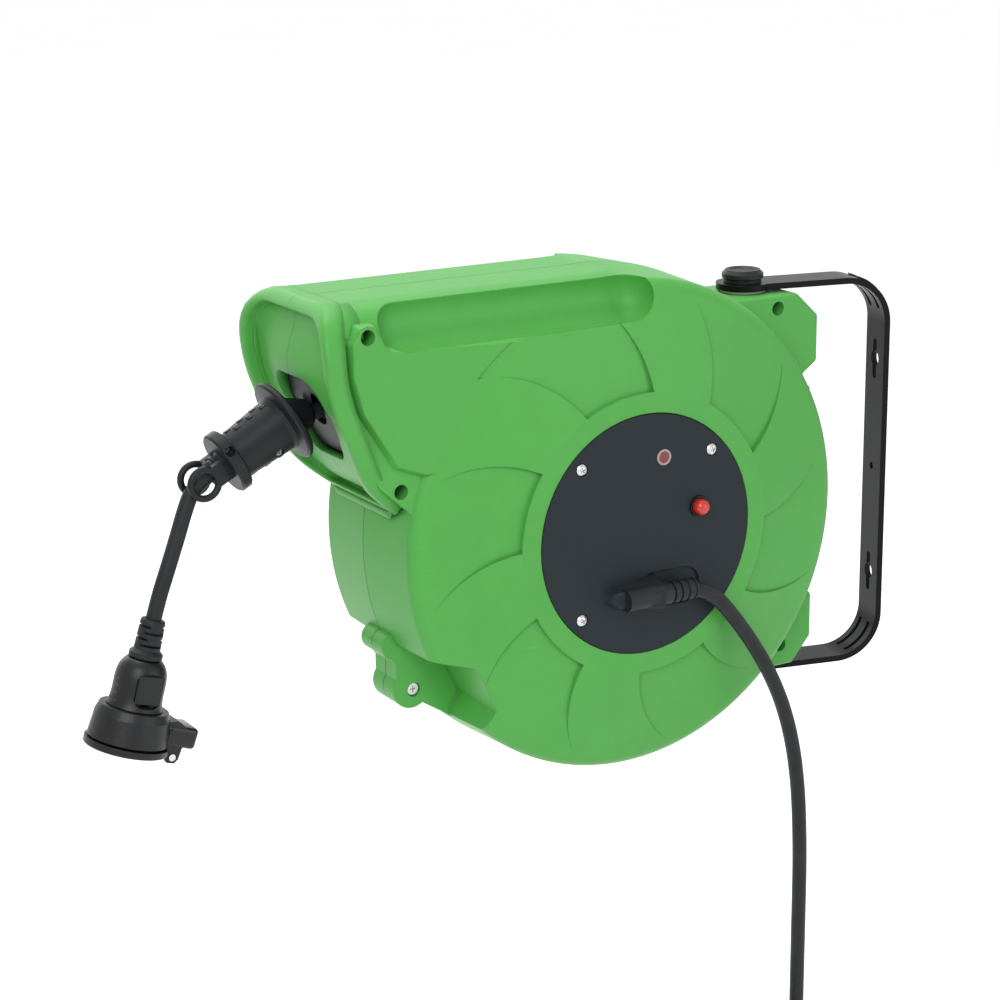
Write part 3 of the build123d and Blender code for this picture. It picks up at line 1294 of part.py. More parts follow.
with BuildPart() as socket_ring:
    with BuildSketch(Plane.XZ):
        with BuildLine():
            Polyline((0, grip_low - FIT), (19.6, grip_low - FIT), (well_r + rim_wall - 1.4, grip_low - 5),
                     (well_r + rim_wall, face_low + 1), (well_r + rim_wall - 1, face_low), (0, face_low),
                     close=True)
        make_face()
    revolve(axis=Axis.Z)
    # hinge block with two ears for the lid's pin
    with BuildSketch(Plane.XZ.offset(-ear_out)):
        with BuildLine():
            Polyline((15, grip_low - 6), (24, grip_low - 4), (34, -60), (36.5, -63), (34, -66), (29.5, -69),
                     (28.5, -76), (26.5, -78.5), (22, -78.5), (20.3, -76), (20.3, -66), (15, -66), close=True)
        make_face()
    extrude(amount=2 * ear_out)
    with BuildSketch(Plane.XZ.offset(-ear_in)):
        Polygon((19, -100), (19, face_low), (34, face_low), (34, -100), align=None)
    extrude(amount=2 * ear_in, mode=Mode.SUBTRACT)
    with BuildSketch(Plane.XY.offset(grip_low - 2)):
        Circle(14 + RUNNING)
    extrude(amount=3, mode=Mode.SUBTRACT)
    with BuildSketch(Plane.XY.offset(face_low - 10)):
        Circle(well_r)
    extrude(amount=10 - 52 - face_low, mode=Mode.SUBTRACT)
    with BuildSketch(Plane.XZ.offset(-ear_out - 1)):
        with Locations((hinge_x, hinge_z)):
            Circle(hinge_pin_r)
    extrude(amount=2 * ear_out + 2, mode=Mode.SUBTRACT)
save_on_socket(socket_ring, "socket_ring")

with BuildPart() as socket_insert:
    with BuildSketch(Plane.XY.offset(insert_y[0])):
        Circle(well_r - RUNNING)
        with GridLocations(2 * contact_gap, 0, 2, 1):
            Circle(pin_hole_r, mode=Mode.SUBTRACT)
        with Locations((0, earth_off)):
            Circle(pin_hole_r, mode=Mode.SUBTRACT)
    extrude(amount=insert_y[1] - insert_y[0])
save_on_socket(socket_insert, "socket_insert")

with BuildPart() as socket_contacts:
    with BuildSketch(Plane.XY.offset(grip_low - 1.8)):
        with GridLocations(2 * contact_gap, 0, 2, 1):
            Circle(pin_hole_r + 0.45)
            Circle(pin_hole_r, mode=Mode.SUBTRACT)
    extrude(amount=14)
save_on_socket(socket_contacts, "socket_contacts")

with BuildPart() as earth_pin:
    with BuildSketch(Plane.XY.offset(-68.4)):
        with Locations((0, earth_off)):
            Circle(pin_hole_r - RUNNING)
    extrude(amount=68.4 + grip_low + 6)
    fillet(earth_pin.faces().sort_by(Axis.Z)[0].edges(), radius=1.6)
save_on_socket(earth_pin, "earth_pin")

with BuildPart() as socket_lid:
    with BuildSketch(Plane.XY.offset(lid_top - lid_t)):
        Circle(24)
        for side in (-1, 1):
            with Locations((28.5, side * 15)):
                Rectangle(18, 2 * 15 - 2 * ear_in + 1.2, mode=Mode.SUBTRACT)
    extrude(amount=lid_t)
    fillet(socket_lid.faces().sort_by(Axis.Z)[0].edges(), radius=1.2)
    # rim that closes the well
    with BuildSketch(Plane.XY.offset(lid_top)):
        Circle(well_r - 0.6)
        Circle(well_r - 2.6, mode=Mode.SUBTRACT)
    extrude(amount=3.2)
    # knuckle round the pin
    with BuildSketch(Plane.XZ.offset(-ear_in + 0.6)):
        with Locations((hinge_x, hinge_z)):
            Circle(3.5)
        Polygon((18, lid_top), (hinge_x, lid_top - 1.1), (hinge_x, hinge_z - 3.5), (18, lid_top - lid_t), align=None)
    extrude(amount=2 * ear_in - 1.2)
    with BuildSketch(Plane.XZ.offset(-ear_out)):
        with Locations((hinge_x, hinge_z)):
            Circle(hinge_pin_r + RUNNING)
    extrude(amount=2 * ear_out, mode=Mode.SUBTRACT)
save_on_socket(socket_lid, "socket_lid")

with BuildPart() as lid_pin:
    with BuildSketch(Plane.XZ.offset(-ear_out - 0.8)):
        with Locations((hinge_x, hinge_z)):
            Circle(hinge_pin_r)
    extrude(amount=2 * ear_out + 1.6)
save_on_socket(lid_pin, "lid_pin")

# ---------------------------------------------------------------- supply cord, its coil and the plug
supply_x = 106.0
supply_y = -84.0
turn_shift = 4.6         # the first turn lies this far inside the middle of the bundle, the last one outside
coil_x = supply_x + turn_shift - COIL_R
coil_z = -366.0
plug_x = supply_x + 2 * turn_shift
boot_top = coil_z - 38.0
boot_deep = 12.0         # the cord reaches this far into the plug's boot
supply_route = [(gland_start + 2, -gland_y, gland_z), (3, -gland_y, gland_z), (36, -79.1, -34.9),
                (58, -79.9, -59.5), (80, -80.9, -92), (95, -81.9, -126), (103.5, -82.9, -166),
                (106.2, -83.7, -215), (supply_x, supply_y, -262), (supply_x, supply_y, coil_z + 6)]
supply_points, supply_radii = cord_path("supply", supply_route)

with BuildPart() as supply_coil:
    with Locations(Plane(origin=(coil_x, supply_y, coil_z), z_dir=(0, 1, 0)).location):
        Torus(COIL_R, BUNDLE_R)
save(supply_coil, "supply_coil")

# both ends of the cord run into the bundle at its side
with BuildPart() as coil_room:
    with Locations(Plane(origin=(coil_x, supply_y, coil_z), z_dir=(0, 1, 0)).location):
        Torus(COIL_R, BUNDLE_R + RUNNING)

with BuildPart() as supply_cord:
    add(tube("supply", supply_points, supply_radii).part)
    add(coil_room.part, mode=Mode.SUBTRACT)
save(supply_cord, "supply_cord")

with BuildPart() as plug_tail:
    with BuildSketch(Plane.XY.offset(boot_top - boot_deep)):
        with Locations((plug_x, supply_y)):
            Circle(CORD_R)
    extrude(amount=coil_z - boot_top + boot_deep)
    add(coil_room.part, mode=Mode.SUBTRACT)
save(plug_tail, "plug_tail")

with BuildPart() as coil_tie:
    with BuildSketch(Plane.XY.offset(coil_z - 6)):
        with Locations((coil_x + COIL_R, supply_y)):
            Circle(BUNDLE_R + 2.4)
            Circle(BUNDLE_R + 0.6, mode=Mode.SUBTRACT)
    extrude(amount=12)
save(coil_tie, "coil_tie")

plug_face = boot_top - 43.5
plug_pins_at = 9.5
with BuildPart() as plug_body:
    with BuildSketch(Plane(origin=(plug_x, supply_y, 0), x_dir=(1, 0, 0), z_dir=(0, -1, 0))):
        with BuildLine():
            Polyline((0, boot_top), (6.2, boot_top), (7.6, boot_top - 18), (12, boot_top - 21))
            Spline((12, boot_top - 21), (16.5, boot_top - 28), (18.4, boot_top - 40))
            Polyline((18.4, boot_top - 40), (18.4, plug_face), (0, plug_face), (0, boot_top))
        make_face()
    revolve(axis=Axis((plug_x, supply_y, 0), (0, 0, 1)))
    for level in range(4):
        with BuildSketch(Plane.XY.offset(boot_top - 5 - 3.6 * level)):
            with Locations((plug_x, supply_y)):
                Circle(12)
                Circle(5.6, mode=Mode.SUBTRACT)
        extrude(amount=1.4, mode=Mode.SUBTRACT)
    with BuildSketch(Plane.XY.offset(boot_top - boot_deep)):
        with Locations((plug_x, supply_y)):
            Circle(CORD_R + RUNNING)
    extrude(amount=boot_deep, mode=Mode.SUBTRACT)
save(plug_body, "plug_body")

with BuildPart() as plug_pins:
    with BuildSketch(Plane.XY.offset(plug_face - 19)):
        with Locations((plug_x, supply_y)):
            with GridLocations(2 * plug_pins_at, 0, 2, 1):
                Circle(2.4)
    extrude(amount=19)
    fillet(plug_pins.faces().group_by(Axis.Z)[0].edges(), radius=1.6)
save(plug_pins, "plug_pins")
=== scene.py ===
"""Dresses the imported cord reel: finishes, cords, the fine pieces of its parts, and a studio.

Pieces are drawn in millimetres in the frame of what carries them (reel, stopper or socket) and
placed in the row frame, in metres, by that frame's matrix.
"""

from __future__ import annotations

import json
import logging
from dataclasses import dataclass
from enum import Enum
from math import cos, pi, radians, sin
from typing import Callable, Iterable, NamedTuple, Sequence

import bmesh
import bpy
from mathutils import Matrix, Vector


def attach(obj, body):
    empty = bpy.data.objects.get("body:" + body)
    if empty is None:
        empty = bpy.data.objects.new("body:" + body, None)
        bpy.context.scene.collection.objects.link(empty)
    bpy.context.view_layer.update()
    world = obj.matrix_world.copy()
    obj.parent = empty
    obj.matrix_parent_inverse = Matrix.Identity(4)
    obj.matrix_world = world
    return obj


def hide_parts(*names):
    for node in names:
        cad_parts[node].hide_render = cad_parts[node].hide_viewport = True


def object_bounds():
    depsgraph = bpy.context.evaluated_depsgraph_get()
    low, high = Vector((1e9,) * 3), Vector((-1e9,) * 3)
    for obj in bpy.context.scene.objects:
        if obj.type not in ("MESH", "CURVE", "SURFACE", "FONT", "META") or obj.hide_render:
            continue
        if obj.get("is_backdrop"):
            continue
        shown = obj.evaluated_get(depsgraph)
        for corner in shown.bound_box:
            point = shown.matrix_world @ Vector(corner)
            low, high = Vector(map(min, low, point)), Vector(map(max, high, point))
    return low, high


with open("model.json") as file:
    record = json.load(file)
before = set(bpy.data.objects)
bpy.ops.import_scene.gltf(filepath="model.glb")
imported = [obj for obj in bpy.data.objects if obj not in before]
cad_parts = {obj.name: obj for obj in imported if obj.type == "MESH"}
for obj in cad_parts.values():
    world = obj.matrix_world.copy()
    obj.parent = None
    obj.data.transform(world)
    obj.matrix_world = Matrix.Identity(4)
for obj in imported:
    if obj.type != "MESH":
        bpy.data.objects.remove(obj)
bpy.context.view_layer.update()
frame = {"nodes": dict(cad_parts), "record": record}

LOG = logging.getLogger("reel")
Point = tuple[float, float, float]
Flat = tuple[float, float]
Colour = tuple[float, float, float]
Mesh = bmesh.types.BMesh
Socket = bpy.types.NodeSocket
Outputs = bpy.types.bpy_prop_collection

MM = 0.001              # metres in a millimetre
NODE_STEP = 190         # from one node to the next in a tree
MERGE_MM = 0.001        # points of a piece closer than this are one
FLAT_COSINE = 0.9999    # faces closer than this to a direction look that way
ARC_POINTS = 8          # on each rounded corner of an outline
RUN_POINTS = 8          # on each straight between two corners
LATHE_STEPS = 48        # once round


def linear(red: int, green: int, blue: int) -> Colour:
    """Turns a screen colour into the linear values that shaders read.

    Args:
        red: red channel, 0 to 255.
        green: green channel.
        blue: blue channel.

    Returns:
        The three linear values.
    """
    shares = [value / 255 for value in (red, green, blue)]
    return tuple(s / 12.92 if s <= 0.04045 else ((s + 0.055) / 1.055) ** 2.4 for s in shares)


def joint(name: str) -> dict:
    """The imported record's entry for one joint."""
    return next(j for j in frame["record"]["behaviour"]["joints"] if j["name"] == name)


def link(name: str, data: bpy.types.ID) -> bpy.types.Object:
    """Links a new object to the scene.

    Args:
        name: its name.
        data: its mesh, curve, camera or light.

    Returns:
        The object.
    """
    piece = bpy.data.objects.new(name, data)
    bpy.context.scene.collection.objects.link(piece)
    return piece


# ---------------------------------------------------------------------------- frames


class Carrier(Enum):
    """What a piece is drawn on."""

    REEL = "reel"
    STOPPER = "stopper"
    SOCKET = "socket"


def axes(origin: Sequence[float], *directions: Sequence[float]) -> Matrix:
    """Placing matrix of a frame.

    Args:
        origin: where the frame stands.
        directions: its X, Y and Z directions.

    Returns:
        The frame's matrix.
    """
    return Matrix.Translation(origin) @ Matrix(directions).transposed().to_4x4()


@dataclass(frozen=True)
class Frames:
    """Turns the millimetres of each carrier into metres of the row frame."""

    stop_at: Point = (-197.0, 0.0, 80.5)
    stop_tilt: float = 28.0
    socket_at: Point = (-281.0, 0.0, -22.0)
    socket_lean: float = 16.0

    def reel(self) -> Matrix:
        """Drum axis and parting plane: X towards the bracket, Y along the drum, Z up.

        Returns:
            Its placing matrix.
        """
        spin = joint("drum_spin")
        along = -Vector(spin["axis"])
        across = along.cross(Vector((0, 0, 1)))
        return axes(spin["pos_m"], across, along, (0, 0, 1)) @ Matrix.Scale(MM, 4)

    def stopper(self) -> Matrix:
        """Middle of the stopper's flange: X down along it, Y to the near side, Z out of its top."""
        c, s = cos(radians(self.stop_tilt)), sin(radians(self.stop_tilt))
        return self.reel() @ axes(self.stop_at, (-c, 0, -s), (0, -1, 0), (-s, 0, c))

    def socket(self) -> Matrix:
        """Top of the socket's strain relief: Z up the cord, Y to the far side."""
        c, s = cos(radians(self.socket_lean)), sin(radians(self.socket_lean))
        return self.reel() @ axes(self.socket_at, (c, 0, -s), (0, 1, 0), (s, 0, c))

    def matrix(self, carrier: Carrier) -> Matrix:
        """Millimetres of a carrier's frame to metres of the row frame."""
        return {Carrier.REEL: self.reel, Carrier.STOPPER: self.stopper,
                Carrier.SOCKET: self.socket}[carrier]()


FRAMES = Frames()


# ---------------------------------------------------------------------------- nodes


class Desk:
    """Adds and links the nodes of one tree."""

    def __init__(self, tree: bpy.types.NodeTree) -> None:
        """Takes the tree that it works on."""
        self.tree = tree
        self.column = 0

    def put(self, kind: str, inputs: dict[str | int, object] | None = None,
            **settings: object) -> bpy.types.Node:
        """Adds a node.

        Args:
            kind: Blender's name of the node's type.
            inputs: a value or another node's output for each input, by name or number.
            settings: the node's own properties.

        Returns:
            The new node.
        """
        node = self.tree.nodes.new(kind)
        node.location = (self.column, 0)
        self.column += NODE_STEP
        for name, value in settings.items():
            setattr(node, name, value)
        for key, value in (inputs or {}).items():
            if isinstance(value, Socket):
                self.tree.links.new(value, node.inputs[key])
            else:
                node.inputs[key].default_value = value
        return node

    def where(self) -> Socket:
        """The shaded point, which on every piece is its place in the row frame."""
        return self.put("ShaderNodeTexCoord").outputs["Object"]

    def math(self, operation: str, first: object, second: object = 0.0,
             clamp: bool = False) -> Socket:
        """One sum, product or comparison.

        Args:
            operation: Blender's name of the operation.
            first: its first value or socket.
            second: its second value or socket.
            clamp: whether the result is kept from 0 to 1.

        Returns:
            The result's socket.
        """
        return self.put("ShaderNodeMath", {0: first, 1: second}, operation=operation,
                        use_clamp=clamp).outputs[0]

    def times(self, first: object, second: object, clamp: bool = False) -> Socket:
        """The product of two values."""
        return self.math("MULTIPLY", first, second, clamp)

    def ramp(self, value: object, low: float, high: float, start: float = 0.0,
             end: float = 1.0) -> Socket:
        """A smooth step.

        Args:
            value: what is mapped.
            low: value where the step starts.
            high: value where it ends.
            start: result before the step.
            end: result after it.

        Returns:
            The result's socket.
        """
        return self.put("ShaderNodeMapRange", {"Value": value, "From Min": low, "From Max": high,
                                               "To Min": start, "To Max": end},
                        interpolation_type="SMOOTHSTEP").outputs["Result"]

    def noise(self, coords: object, scale: object, detail: float = 3.0,
              rough: float = 0.55) -> Socket:
        """Value of a noise texture.

        Args:
            coords: where it is read.
            scale: features per metre.
            detail: octaves.
            rough: weight of the finer octaves.

        Returns:
            The noise, about 0.5 in the mean.
        """
        return self.put("ShaderNodeTexNoise", {"Vector": coords, "Scale": scale, "Detail": detail,
                                               "Roughness": rough}).outputs[0]

    def mix(self, share: object, first: object, second: object) -> Socket:
        """Mixes two colours.

        Args:
            share: how much of the second, 0 to 1.
            first: first colour or socket.
            second: second colour or socket.

        Returns:
            The mixed colour.
        """
        colours = [(*c, 1.0) if isinstance(c, tuple) else c for c in (first, second)]
        return self.put("ShaderNodeMix", {0: share, 6: colours[0], 7: colours[1]},
                        data_type="RGBA").outputs[2]

    def relief(self, height: object, depth_mm: float, normal: Socket | None = None) -> Socket:
        """Bends a normal over a relief.

        Args:
            height: the relief, 0 to 1.
            depth_mm: its depth.
            normal: the normal that it bends, the surface's own if none.

        Returns:
            The bent normal.
        """
        under = {} if normal is None else {"Normal": normal}
        return self.put("ShaderNodeBump", {"Height": height, "Distance": depth_mm * MM,
                                           "Strength": 1.0, **under}).outputs[0]

    def looked_at(self) -> Socket:
        """Finds the rays that the eye follows, straight, in a gloss or through glass.

        Returns:
            1 on them and 0 on all others.
        """
        ray = self.put("ShaderNodeLightPath").outputs
        bounced = self.math("MAXIMUM", ray["Is Glossy Ray"], ray["Is Transmission Ray"])
        return self.math("MAXIMUM", ray["Is Camera Ray"], bounced)


def emptied(owner: bpy.types.Material | bpy.types.World) -> Desk:
    """Clears the nodes of a material or a world.

    Args:
        owner: what is emptied.

    Returns:
        Its desk.
    """
    owner.use_nodes = True
    owner.node_tree.nodes.clear()
    return Desk(owner.node_tree)


class Effect(Enum):
    """What finishes share: a group's name, its inputs with usual values, and its outputs."""

    GRAIN = ("moulded grain", {"Grain mm": 0.6}, ("Height",))
    DRIFT = ("colour drift", {"Amount": 1.0}, ("Share",))
    MARKS = ("handling marks", {"Amount": 1.0}, ("Smudge", "Scratch"))
    EDGES = ("soft edges", {"Radius mm": 0.5}, ("Normal", "Edge"))
    # painted shade: grooves and inner corners darkened from ambient occlusion
    CREVICE_SHADE = ("crevices", {"Amount": 0.5, "Reach mm": 4.0}, ("Share",))
    DUST = ("settled dust", {"Amount": 0.3}, ("Share",))


class SharedEffects:
    """The shader node groups of the effects, each built once."""

    def __init__(self) -> None:
        """Starts with none built."""
        self.built: dict[Effect, bpy.types.NodeTree] = {}
        self.draw: dict[Effect, Callable[[Desk, Outputs], dict[str, Socket]]] = {
            Effect.GRAIN: self.grain, Effect.DRIFT: self.drift, Effect.MARKS: self.marks,
            Effect.EDGES: self.edges, Effect.CREVICE_SHADE: self.crevices, Effect.DUST: self.dust}

    def tree(self, effect: Effect) -> bpy.types.NodeTree:
        """The group of an effect, built on its first use.

        Args:
            effect: which one.

        Returns:
            The group's tree.
        """
        if effect in self.built:
            return self.built[effect]
        name, inputs, outputs = effect.value
        tree = self.built[effect] = bpy.data.node_groups.new(name, "ShaderNodeTree")
        for label, value in inputs.items():
            given = tree.interface.new_socket(label, in_out="INPUT", socket_type="NodeSocketFloat")
            given.default_value = value
        for label in outputs:
            kind = "NodeSocketVector" if label == "Normal" else "NodeSocketFloat"
            tree.interface.new_socket(label, in_out="OUTPUT", socket_type=kind)
        desk = Desk(tree)
        desk.put("NodeGroupOutput", self.draw[effect](desk, desk.put("NodeGroupInput").outputs))
        return tree

    def use(self, desk: Desk, effect: Effect, value: float) -> Outputs:
        """Places an effect in a material.

        Args:
            desk: the material's desk.
            effect: which one.
            value: what its first input gets.

        Returns:
            The effect's outputs.
        """
        node = desk.put("ShaderNodeGroup", node_tree=self.tree(effect))
        node.inputs[0].default_value = value
        return node.outputs

    @staticmethod
    def grain(desk: Desk, given: Outputs) -> dict[str, Socket]:
        """Fine grain of a spark-eroded mould, cells with noise over them.

        Args:
            desk: the group's desk.
            given: its inputs.

        Returns:
            Its results.
        """
        where = desk.where()
        scale = desk.math("DIVIDE", 1.0 / MM, given["Grain mm"])
        cells = desk.put("ShaderNodeTexVoronoi", {"Vector": where, "Scale": scale,
                                                  "Randomness": 1.0}, feature="SMOOTH_F1")
        fine = desk.noise(where, desk.times(scale, 1.7), 2.0, 0.5)
        coarse = desk.times(cells.outputs["Distance"], 0.6)
        return {"Height": desk.math("ADD", coarse, desk.times(fine, 0.4))}

    @staticmethod
    def drift(desk: Desk, given: Outputs) -> dict[str, Socket]:
        """Slow change of shade over a moulding, from flow and age: clouds and a finer mottle.

        Args:
            desk: the group's desk.
            given: its inputs.

        Returns:
            Its results.
        """
        where = desk.where()
        cloud = desk.ramp(desk.noise(where, 9.0, 2.0), 0.3, 0.7)
        mottle = desk.ramp(desk.noise(where, 85.0, 4.0), 0.35, 0.7)
        both = desk.math("ADD", desk.times(cloud, 0.65), desk.times(mottle, 0.35))
        return {"Share": desk.times(both, given["Amount"], clamp=True)}

    @staticmethod
    def marks(desk: Desk, given: Outputs) -> dict[str, Socket]:
        """Smudges of hands, and fine scratches that a stretched noise draws.

        Args:
            desk: the group's desk.
            given: its inputs.

        Returns:
            Its results.
        """
        where = desk.where()
        smudge = desk.ramp(desk.noise(where, 28.0, 5.0, 0.6), 0.5, 0.72)
        turned = desk.put("ShaderNodeMapping", {"Vector": where, "Rotation": (0.4, 0.7, 0.3),
                                                "Scale": (14.0, 420.0, 260.0)}).outputs[0]
        scratch = desk.ramp(desk.noise(turned, 1.0, 3.0, 0.7), 0.64, 0.72)
        patch = desk.ramp(desk.noise(where, 40.0, 2.0), 0.52, 0.66)
        return {"Smudge": desk.times(smudge, given["Amount"], clamp=True),
                "Scratch": desk.times(desk.times(scratch, patch), given["Amount"], clamp=True)}

    @staticmethod
    def edges(desk: Desk, given: Outputs) -> dict[str, Socket]:
        """Rounds the edges in the shading, and finds in patches where they rub bright.

        Args:
            desk: the group's desk.
            given: its inputs.

        Returns:
            Its results.
        """
        rounded = desk.put("ShaderNodeBevel", {"Radius": desk.times(given["Radius mm"], MM)},
                           samples=6).outputs["Normal"]
        flat = desk.put("ShaderNodeNewGeometry").outputs["Normal"]
        facing = desk.put("ShaderNodeVectorMath", {0: rounded, 1: flat}, operation="DOT_PRODUCT")
        edge = desk.ramp(desk.math("SUBTRACT", 1.0, facing.outputs["Value"]), 0.02, 0.2)
        patchy = desk.ramp(desk.noise(desk.where(), 120.0, 4.0), 0.35, 0.65)
        return {"Normal": rounded, "Edge": desk.times(edge, patchy)}

    @staticmethod
    def crevices(desk: Desk, given: Outputs) -> dict[str, Socket]:
        """Painted shade that darkens grooves and inner corners, read from ambient occlusion.

        Args:
            desk: the group's desk.
            given: its inputs.

        Returns:
            Its results.
        """
        closed = desk.put("ShaderNodeAmbientOcclusion",
                          {"Distance": desk.times(given["Reach mm"], MM)}, samples=8).outputs["AO"]
        shade = desk.ramp(closed, 0.4, 0.95, 1.0, 0.0)
        return {"Share": desk.times(shade, given["Amount"], clamp=True)}

    @staticmethod
    def dust(desk: Desk, given: Outputs) -> dict[str, Socket]:
        """Thin dust where the surface looks up, broken up by noise.

        Args:
            desk: the group's desk.
            given: its inputs.

        Returns:
            Its results.
        """
        normal = desk.put("ShaderNodeNewGeometry").outputs["Normal"]
        up = desk.put("ShaderNodeSeparateXYZ", {0: normal}).outputs["Z"]
        broken = desk.ramp(desk.noise(desk.where(), 60.0, 5.0), 0.35, 0.75)
        lies = desk.times(desk.ramp(up, 0.35, 1.0), broken)
        return {"Share": desk.times(lies, given["Amount"], clamp=True)}


EFFECTS = SharedEffects()


# ---------------------------------------------------------------------------- finishes


class Coat(NamedTuple):
    """What a finish gives its surface shader."""

    colour: Socket
    rough: Socket
    normal: Socket


@dataclass(frozen=True)
class Finish:
    """A material's name, colour and how it is dressed."""

    name: str
    colour: Colour
    roughness: float = 0.5
    grain_mm: float = 0.6
    grain_depth_mm: float = 0.02
    edge_mm: float = 0.4
    edge_share: float = 0.3
    drift: float = 0.5
    marks: float = 0.5
    dust: float = 0.1
    # how strongly painted shade darkens grooves and inner corners
    shade_in_crevices: float = 0.4
    specular: float = 0.5
    dust_colour: Colour = linear(176, 172, 162)
    plain: tuple[tuple[str, float], ...] = ()    # inputs of the shader that stay the same

    def build(self) -> bpy.types.Material:
        """Makes the material.

        Returns:
            The finished material.
        """
        made = bpy.data.materials.new(self.name)
        desk = emptied(made)
        surface = desk.put("ShaderNodeBsdfPrincipled",
                           {"Specular IOR Level": self.specular, **dict(self.plain)})
        desk.put("ShaderNodeOutputMaterial", {"Surface": surface.outputs["BSDF"]})
        made.diffuse_color = (*self.colour, 1.0)
        for label, socket in zip(("Base Color", "Roughness", "Normal"), self.coat(desk)):
            desk.tree.links.new(socket, surface.inputs[label])
        return made

    def coat(self, desk: Desk) -> Coat:
        """Adds the finish's nodes; each kind of finish has its own."""
        raise NotImplementedError

    def shade(self, factor: float) -> Colour:
        """The finish's colour, lighter for a factor above 1 and darker below it."""
        return tuple(min(1.0, value * factor) for value in self.colour)

    def effects(self, desk: Desk, *wanted: Effect) -> list[Outputs]:
        """Places shared effects with the finish's own values.

        Args:
            desk: the material's desk.
            wanted: which effects.

        Returns:
            The outputs of each.
        """
        own = {Effect.GRAIN: self.grain_mm, Effect.DRIFT: self.drift, Effect.MARKS: self.marks,
               Effect.EDGES: self.edge_mm, Effect.CREVICE_SHADE: self.shade_in_crevices, Effect.DUST: self.dust}
        return [EFFECTS.use(desk, effect, own[effect]) for effect in wanted]

    def handled(self, desk: Desk, smudge: Socket, change: float, dust: Socket) -> Socket:
        """Roughness of a surface with smudges and dust.

        Args:
            desk: the material's desk.
            smudge: where hands have been.
            change: what a smudge adds.
            dust: where dust lies.

        Returns:
            The roughness.
        """
        bare = desk.ramp(smudge, 0.0, 1.0, self.roughness, self.roughness + change)
        return desk.math("ADD", bare, desk.times(dust, 0.4), clamp=True)


@dataclass(frozen=True)
class MouldedPlastic(Finish):
    """Injection-moulded plastic with a grained surface."""

    def coat(self, desk: Desk) -> Coat:
        """Colour drift, rubbed edges, scratches, smudges, dust, painted shade in grooves and grain.

        Args:
            desk: the material's desk.

        Returns:
            The plastic's coat.
        """
        drift, edges, marks, dust, grain, groove_shade = self.effects(
            desk, Effect.DRIFT, Effect.EDGES, Effect.MARKS, Effect.DUST, Effect.GRAIN,
            Effect.CREVICE_SHADE)
        colour = desk.mix(drift[0], self.shade(0.93), self.shade(1.08))
        colour = desk.mix(desk.times(edges["Edge"], self.edge_share), colour, self.shade(1.5))
        colour = desk.mix(desk.times(marks["Scratch"], 0.35), colour, self.shade(1.7))
        colour = desk.mix(dust[0], colour, self.dust_colour)
        # painted shade: grooves and inner corners darkened towards a third of the colour
        colour = desk.mix(groove_shade[0], colour, self.shade(0.3))
        return Coat(colour, self.handled(desk, marks["Smudge"], -0.1, dust[0]),
                    desk.relief(grain[0], self.grain_depth_mm, edges["Normal"]))


@dataclass(frozen=True)
class HousingPlastic(MouldedPlastic):
    """The housing's plastic, which also shows the line where the two shells meet."""

    seam_mm: float = 0.35
    seam_depth_mm: float = 0.3

    def coat(self, desk: Desk) -> Coat:
        """Adds the joint line to the plastic.

        Args:
            desk: the material's desk.

        Returns:
            The housing's coat.
        """
        plastic = super().coat(desk)
        reel = FRAMES.matrix(Carrier.REEL)
        across = (reel.to_3x3() @ Vector((0, 1, 0))).normalized()
        offset = desk.put("ShaderNodeVectorMath", {0: desk.where(), 1: tuple(reel.translation)},
                          operation="SUBTRACT").outputs[0]
        side = desk.put("ShaderNodeVectorMath", {0: offset, 1: tuple(across)},
                        operation="DOT_PRODUCT").outputs["Value"]
        half = self.seam_mm * MM
        line = desk.ramp(desk.math("ABSOLUTE", side), 0.4 * half, half, 1.0, 0.0)
        return Coat(desk.mix(desk.times(line, 0.75), plastic.colour, self.shade(0.25)),
                    plastic.rough,
                    desk.relief(desk.math("SUBTRACT", 1.0, line), self.seam_depth_mm,
                                plastic.normal))


@dataclass(frozen=True)
class PowderCoat(Finish):
    """Powder coating with its fine orange peel, worn to the metal on the corners."""

    metal: Colour = linear(150, 150, 152)

    def coat(self, desk: Desk) -> Coat:
        """Orange peel, thin bright edges and rubbed stretches.

        Args:
            desk: the material's desk.

        Returns:
            The coating's coat.
        """
        edges, marks, dust, drift = self.effects(desk, Effect.EDGES, Effect.MARKS, Effect.DUST,
                                                 Effect.DRIFT)
        peel = desk.ramp(desk.noise(desk.where(), 1.0 / (self.grain_mm * MM), 1.5), 0.25, 0.75)
        colour = desk.mix(drift[0], self.shade(0.9), self.shade(1.25))
        colour = desk.mix(desk.times(edges["Edge"], self.edge_share), colour, self.metal)
        colour = desk.mix(desk.times(marks["Scratch"], 0.3), colour, self.shade(4.0))
        colour = desk.mix(dust[0], colour, self.dust_colour)
        return Coat(colour, self.handled(desk, marks["Smudge"], 0.12, dust[0]),
                    desk.relief(peel, self.grain_depth_mm, edges["Normal"]))


